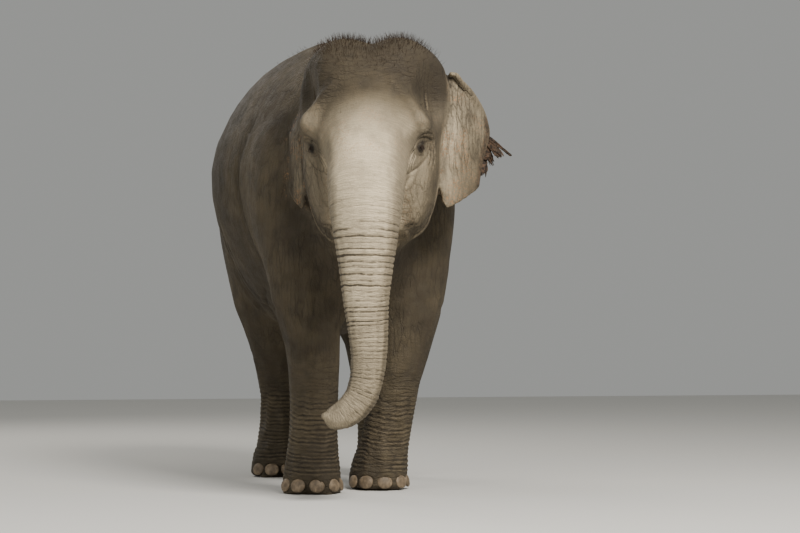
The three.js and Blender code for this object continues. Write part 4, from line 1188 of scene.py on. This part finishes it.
# %% [markdown]
# ## Eyelids
# A lid is a thick fold of hide that wraps the ball. Seen along the gaze its edge is an almond and its root a
# circle, so the lids are made as rings that run from the one to the other: out of the ball, over the edge,
# across two folds and down under the cheek. They close behind, so the piece has no open border.

# %% Eyelids
ALMOND = (math.radians(44), math.radians(25), math.radians(15))  # half width, and height up and down
SLANT = math.radians(20)  # the eye's front corner lies lower than its back one
LID_ROOT = math.radians(66)
LID_SIDES = 72  # points in each ring of a lid
LID_PROFILE = [  # share of the way from the edge to the root, and metres from the middle of the eye
    (-0.05, 0.0212), (0.0, 0.0242), (0.03, 0.0256), (0.08, 0.0268), (0.16, 0.0274), (0.25, 0.0272),
    (0.34, 0.0262), (0.43, 0.0272), (0.54, 0.0283), (0.66, 0.0288), (0.78, 0.0296), (0.88, 0.0302),
    (0.95, 0.0296), (1.0, 0.0270), (0.95, 0.0232), (0.55, 0.0205)]


def lid_point(t, share, radius):
    """A point of the lid rings in the view along the gaze, from the middle of the eye."""
    wide, up, down = ALMOND
    edge = np.array([wide * math.cos(t), (up if math.sin(t) > 0 else -down) * math.sin(t) ** 2])
    root = LID_ROOT * np.array([math.cos(t), math.sin(t)])
    aim = edge + (root - edge) * share
    aim = np.array([math.cos(SLANT) * aim[0] - math.sin(SLANT) * aim[1],
                    math.sin(SLANT) * aim[0] + math.cos(SLANT) * aim[1]])
    off = max(np.hypot(*aim), 1e-6)
    flat = aim / off * math.sin(off)
    return radius * np.array([*flat, math.cos(off)])


def eyelids():
    """The lids of both eyes, and how far from edge to root each of their points lies."""
    work = bmesh.new()
    _, axes = PAPERS["eye"]
    shares = {}
    for out in (1, -1):
        rings = []
        for share, radius in LID_PROFILE:
            ring = []
            for t in np.arange(LID_SIDES) * 2 * math.pi / LID_SIDES:
                swell = 1 + 0.016 * math.sin(3 * t + 9 * share) * (share > 0.1)
                q = EYE_IN_HEAD + axes @ lid_point(t, share, radius * swell)
                point = work.verts.new(from_head(q * (out, 1, 1)))
                shares[point] = share
                ring.append(point)
            rings.append(ring)
        for inner, outer in zip(rings, rings[1:] + rings[:1]):
            for j in range(LID_SIDES):
                k = (j + 1) % LID_SIDES
                corners = (inner[j], outer[j], outer[k], inner[k])
                work.faces.new(corners if out > 0 else corners[::-1])
    work.verts.index_update()
    depth = np.array([shares[point] for point in work.verts])
    return finished(work, "eyelids"), depth


lid_mesh, lid_share = eyelids()
# painted shade: the lids darken towards their edge and in the socket, and the hollow number darkens the lid
# fold
lid_dark = np.maximum(ramp(lid_share, 0.40, 0.20), socket_shade(mirrored(places(lid_mesh))))
write_hide_numbers(lid_mesh, hollow=0.12 * dome(lid_share - 0.34, 0.05), level=0.5, pale=0.1, dark=lid_dark)
lid_mesh.shade_smooth()
lid_mesh.materials.append(hide)
lids = new_object("eyelids", lid_mesh)
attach(lids, "root")
print("eyelids:", len(lid_mesh.polygons), "faces")

# %% [markdown]
# ## Bristles
# An Asian elephant isn't bald: stiff dark bristles stand on its crown, run down the back and hang from the
# chin, long lashes shade the eyes, and a tuft ends the tail. They all grow by one rule, which suits Geometry
# Nodes. Points are strewn on a host surface as densely as its "hairs" number says, a thin tapered rod is set
# on each, and the rods are made real and bent. Each rod takes its place on an unwrap of the body round its
# long axis.

# %% The tree that grows bristles
BRISTLE_SIZES = {"Length": ("Float", 0.03), "Thickness": ("Float", 0.0008), "Spread": ("Float", 0.3),
                 "Lie": ("Vector", (0, 0, 0)), "Droop": ("Vector", (0, 0, 0)), "Seed": ("Int", 1),
                 "Material": ("Material", None)}


def bristle_tree():
    tree = bpy.data.node_groups.new("bristles", "GeometryNodeTree")
    tree.interface.new_socket("Host", in_out="INPUT", socket_type="NodeSocketGeometry")
    for name, (kind, value) in BRISTLE_SIZES.items():
        port = tree.interface.new_socket(name, in_out="INPUT", socket_type="NodeSocket" + kind)
        if value is not None:
            port.default_value = value
    tree.interface.new_socket("Bristles", in_out="OUTPUT", socket_type="NodeSocketGeometry")
    given = tree.nodes.new("NodeGroupInput").outputs

    def node(kind, inputs=(), out=0, **settings):
        made = tree.nodes.new(kind)
        for name, value in settings.items():
            setattr(made, name, value)
        for socket, value in dict(inputs).items():
            if isinstance(value, bpy.types.NodeSocket):
                tree.links.new(value, made.inputs[socket])
            else:
                made.inputs[socket].default_value = value
        return made.outputs[out]

    def vector(way, a, b):
        return node("ShaderNodeVectorMath", {0: a, "Scale" if way == "SCALE" else 1: b}, operation=way)

    def times(a, b):
        return node("ShaderNodeMath", {0: a, 1: b}, operation="MULTIPLY")

    def named(name, kind):
        return node("GeometryNodeInputNamedAttribute", {"Name": name}, data_type=kind)

    def keep(geometry, name, value, kind, domain="POINT"):
        return node("GeometryNodeStoreNamedAttribute", {0: geometry, "Name": name, 3: value}, data_type=kind,
                    domain=domain)

    def chance(low, high, seed, kind="FLOAT"):
        at_low, at_high, out = {"FLOAT": (2, 3, 1), "FLOAT_VECTOR": (0, 1, 0)}[kind]
        return node("FunctionNodeRandomValue", {at_low: low, at_high: high, "Seed": seed}, out=out,
                    data_type=kind)

    seed_2 = node("ShaderNodeMath", {0: given["Seed"], 1: 7.0}, operation="ADD")
    strewn = node("GeometryNodeDistributePointsOnFaces", {
        0: given["Host"], "Density": named("hairs", "FLOAT"), "Seed": given["Seed"]})
    facing = strewn.node.outputs["Normal"]
    stray = vector("SCALE", chance((-1, -1, -1), (1, 1, 1), given["Seed"], "FLOAT_VECTOR"), given["Spread"])
    aim = vector("ADD", vector("ADD", facing, given["Lie"]), stray)
    turned = node("FunctionNodeAlignRotationToVector", {"Vector": aim}, axis="Z")
    tall = times(given["Length"], chance(0.45, 1.0, seed_2))
    size = node("ShaderNodeCombineXYZ", {0: given["Thickness"], 1: given["Thickness"], 2: tall})
    bend = vector("ADD", given["Droop"], vector("SCALE", stray, times(given["Length"], 0.4)))
    strewn = keep(strewn, "bend", bend, "FLOAT_VECTOR")

    rod = node("GeometryNodeMeshCone", {"Vertices": 3, "Side Segments": 3, "Radius Top": 0.15,
                                        "Radius Bottom": 1.0, "Depth": 1.0})
    spot = node("ShaderNodeSeparateXYZ", {0: node("GeometryNodeInputPosition")})
    height = spot.node.outputs[2]
    patch = node("ShaderNodeCombineXYZ", {0: times(spot, 0.0015), 1: times(height, 0.003)})
    rod = keep(rod, "patch", patch, "FLOAT_VECTOR")
    rod = keep(rod, "rise", height, "FLOAT")
    grown = node("GeometryNodeInstanceOnPoints", {"Points": strewn, "Instance": rod, "Rotation": turned,
                                                  "Scale": size})
    real = node("GeometryNodeRealizeInstances", {0: grown})
    rise = named("rise", "FLOAT")
    offset = vector("SCALE", named("bend", "FLOAT_VECTOR"), times(rise, rise))
    bent = node("GeometryNodeSetPosition", {0: real, "Offset": offset})
    spread = vector("ADD", named("unwrap", "FLOAT_VECTOR"), named("patch", "FLOAT_VECTOR"))
    mapped = keep(bent, "OFBake", spread, "FLOAT2", "CORNER")
    done = node("GeometryNodeSetMaterial", {0: mapped, "Material": given["Material"]})
    tree.links.new(done, tree.nodes.new("NodeGroupOutput").inputs[0])
    return tree


bristles = bristle_tree()
print("bristle tree:", len(bristles.nodes), "nodes")


# %% Growing a coat piece
def bristle_finish():
    f = Finish("bristle")
    tint = f.blend(f.noise(f.place(), 0.012, 2.0), linear(24, 18, 14), linear(62, 47, 34))
    return f.done({"Base Color": tint, "Roughness": 0.65, "Specular IOR Level": 0.2})


bristle_material = bristle_finish()


def grow(name, host, density, **sizes):
    """Grows bristles on a copy of a host mesh and keeps them as a plain piece that rides on the animal."""
    sizes["Material"] = bristle_material
    mesh = host.copy()
    points = places(mesh) - BODY
    write_number(mesh, "hairs", np.broadcast_to(density, len(points)))
    layer = mesh.attributes.new("unwrap", "FLOAT_VECTOR", "POINT")
    flat = np.stack([(np.arctan2(points[:, 0], points[:, 2] - 1.5) + math.pi) / (2 * math.pi),
                     (points[:, 1] + 1.5) / 4, np.zeros(len(points))], 1)
    layer.data.foreach_set("vector", flat.astype(np.float32).ravel())
    piece = new_object(name, mesh)
    grown = piece.modifiers.new("Grow", "NODES")
    grown.node_group = bristles
    for port in bristles.interface.items_tree:
        if port.in_out == "INPUT" and port.name in sizes:
            grown[port.identifier] = sizes[port.name]
    bake_modifiers(piece)
    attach(piece, "root")
    print(name, triangles(piece.data), "triangles, map:", [layer.name for layer in piece.data.uv_layers])


# %% Crown, back and chin
ON_CROWN, ON_BACK, ON_CHIN = 7000, 900, 1200  # bristles per square metre where they are densest


def hair_places(points, way):
    """Bristles per square metre on the crown, along the back, and on the chin."""
    q = in_head(points)
    body = points - BODY
    ears = ramp(distance_to(EARS, points, 0.04), 0.03, 0.04)
    from_dome = (mirrored(points) * (1, 0, 1) - (0.13, 0, 0.40)) / (0.17, 1, 0.15)
    domes = dome(np.linalg.norm(from_dome, axis=1), 1.0)
    crown = ON_CROWN * domes * ramp(q[:, 1], 0.30, 0.05) * ears * ramp(way[:, 2], 0.05, 0.75)
    ridge = ON_BACK * dome(body[:, 0], 0.20) * ramp(body[:, 2], 1.9, 2.1) * ramp(body[:, 1], -0.2, 0.0)
    chin = ON_CHIN * dome(np.linalg.norm((q - (0, -0.10, -0.64)) / (0.18, 0.20, 0.10), axis=1), 1.0)
    return crown, ridge, chin


crown, ridge, chin = hair_places(places(skin.data), outward(skin.data))
grow("bristles_crown", skin.data, crown, Length=0.046, Thickness=0.0010, Spread=0.30,
     Lie=tuple(FOREHEAD * 0.15 + (0, 0, 0.35)), Droop=(0, 0, -0.002), Seed=3)
grow("bristles_back", skin.data, ridge, Length=0.034, Thickness=0.0009, Spread=0.4, Lie=(0, 0.7, 0),
     Droop=(0, 0.006, -0.004), Seed=4)
grow("bristles_chin", skin.data, chin, Length=0.026, Thickness=0.0007, Spread=0.3, Lie=(0, 0, -0.5),
     Droop=(0, 0, -0.006), Seed=5)


# %% Lashes and tail hair
ON_LID, ON_TAIL = 450000, 26000  # hairs per square metre of their narrow hosts


def strip(name, rows):
    """A narrow host surface between two rows of places."""
    mesh = bpy.data.meshes.new(name)
    count = len(rows[0])
    faces = [(i, i + 1, count + i + 1, count + i) for i in range(count - 1)]
    mesh.from_pydata([tuple(p) for row in rows for p in row], [], faces)
    return mesh


UPPER_LID = np.linspace(0.14, 0.90, 14) * math.pi
for side, out in SIDES.items():
    rows = []
    for share, radius in ((0.035, 0.0258), (0.085, 0.0272)):
        arc = [EYE_IN_HEAD + PAPERS["eye"][1] @ lid_point(t, share, radius) for t in UPPER_LID]
        rows.append(from_head(np.array(arc) * (out, 1, 1)))
    lash_host = strip("lash_host", rows if out < 0 else rows[::-1])
    grow(f"lashes_{side}", lash_host, ON_LID, Length=0.030, Thickness=0.0006, Spread=0.22,
         Lie=(0, 0, -0.55), Droop=(0, 0, -0.016), Seed=6)

tail_end = tail_line[-22:]  # where the tuft grows
for number, out in enumerate((1, -1)):
    rows = [tail_end[:, :3] + np.array([aside, out * 0.8, 0]) * tail_end[:, 3:] for aside in (-0.5, 0.5)]
    tail_host = strip("tail_host", rows if out > 0 else rows[::-1])
    grow(f"tail_hair_{number}", tail_host, ON_TAIL, Length=0.32, Thickness=0.0013, Spread=0.45,
         Lie=(0, 0, -7.0), Droop=(0, 0, -0.02), Seed=7 + number)

# %% Hand the skin over
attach(skin, "root")
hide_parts(*FLESH)
print("the skin stands for", len(FLESH), "solids")

# %% [markdown]
# ## Toenails
# The nails are horny shields set in the front of each foot, worn and cracked, with a rough edge below. They
# start from the solids, which a Subdivision Surface rounds, and their finish has the fine upright grooves of
# horn.

# %% Toenails
def horn_finish():
    f = Finish("horn")
    here = f.place()
    upright = f.noise(f.stretch(here, (1, 1, 0.12)), 0.006, 3.0)
    stain = f.noise(here, 0.03, 4.0)
    base = f.blend(f.step(stain, 0.35, 0.7), linear(94, 80, 62), linear(134, 116, 92))
    base = f.blend(f.step(upright, 0.5, 0.7, 0.0, 0.5), base, linear(66, 55, 42))
    relief = f.node("Bump", {"Height": upright, "Strength": 0.6, "Distance": 0.002})
    return f.done({"Base Color": base, "Normal": relief, "Roughness": 0.62})


NAILS = sorted(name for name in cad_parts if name.startswith("nail"))
NAIL_SWELL = np.array([1.14, 1.14, 1.04])  # the nails' broad rim, which rounding would take away


def one_nail(name):
    """A copy of a nail, swollen from the middle of its base."""
    low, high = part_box(name)
    piece = copies(name + "_shaped", [name])
    middle = np.array([(low[0] + high[0]) / 2, (low[1] + high[1]) / 2, low[2]])
    move_to(piece.data, middle + (places(piece.data) - middle) * NAIL_SWELL)
    return piece


nails = copies("toenails", (), [one_nail(name) for name in NAILS])
rounder = nails.modifiers.new("Rounder", "SUBSURF")
rounder.levels = rounder.render_levels = 2
bake_modifiers(nails)
nails.data.shade_smooth()
nails.data.materials.append(horn_finish())
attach(nails, "root")
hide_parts(*NAILS)
print(len(NAILS), "nails,", len(nails.data.polygons), "faces")

# %% [markdown]
# ## Floor, light and camera
# A pale floor and broad soft lamps show the form without hiding any of it. The camera stands low and well
# back, as a visitor would, slightly to one side of the animal's line.

# %% Floor
floor_mesh = bpy.data.meshes.new("floor")
FLOOR_HALF, FLOOR_HEIGHT = 14.0, -0.001
corners = [(FLOOR_HALF * x, FLOOR_HALF * y, FLOOR_HEIGHT) for x, y in ((-1, -1), (1, -1), (1, 1), (-1, 1))]
floor_mesh.from_pydata(corners, [], [(0, 1, 2, 3)])
floor = new_object("floor", floor_mesh)
paint = Finish("studio_floor").done({"Base Color": (0.62, 0.61, 0.58, 1), "Roughness": 0.85})
floor_mesh.materials.append(paint)
print("floor:", 2 * FLOOR_HALF, "m square")

# %% Light
def lamp(name, at, aim, size, power, tint):
    """A round lamp that shines from one place at another."""
    light = bpy.data.lights.new(name, "AREA")
    light.shape, light.size, light.energy, light.color = "DISK", size, power, tint
    made = bpy.data.objects.new(name, light)
    made.location = at
    made.rotation_euler = (Vector(aim) - Vector(at)).to_track_quat("-Z", "Y").to_euler()
    bpy.context.scene.collection.objects.link(made)


LAMPS = [  # name, place, aim, metres across, watts, tint
    ("key", (1.6, -6.5, 6.5), (0, -0.6, 1.3), 3.0, 1000, (1.0, 0.96, 0.90)),
    ("fill", (-6.0, -4.5, 3.0), (0, 0, 1.2), 4.0, 110, (0.98, 0.99, 1.0)),
    ("rim", (-2.5, 6.0, 5.0), (0, 0, 1.6), 3.0, 170, (1.0, 0.95, 0.88))]
for row in LAMPS:
    lamp(*row)
world = bpy.data.worlds.new("studio")
bpy.context.scene.world = world
world.use_nodes = True
sky = world.node_tree.nodes["Background"]
sky.inputs["Color"].default_value = (0.86, 0.87, 0.84, 1)
sky.inputs["Strength"].default_value = 0.38
print(len(LAMPS), "lamps")

# %% Camera
CAMERA_AT, CAMERA_TURN = (-2.3919, -12.0442, 0.88), math.radians(12.5)
# In pixels of a picture 800 wide: the lens, and how far down the horizon and the picture's middle lie.
FOCAL, HORIZON, MIDDLE = 2222, 324, 266.5
camera_data = bpy.data.cameras.new("camera")
camera_data.lens, camera_data.sensor_width = 100.0, 36.0
camera = bpy.data.objects.new("camera", camera_data)
camera.location = CAMERA_AT
pitch = math.atan((HORIZON - MIDDLE) / FOCAL)
level_way = math.cos(pitch)
look = Vector((math.sin(CAMERA_TURN) * level_way, math.cos(CAMERA_TURN) * level_way, math.sin(pitch)))
camera.rotation_euler = look.to_track_quat("-Z", "Y").to_euler()
bpy.context.scene.collection.objects.link(camera)
bpy.context.scene.camera = camera
print("camera", round((camera.location - Vector((0, -1.0, 1.3))).length, 2), "m from the face")

# %% Finish
bpy.context.view_layer.update()
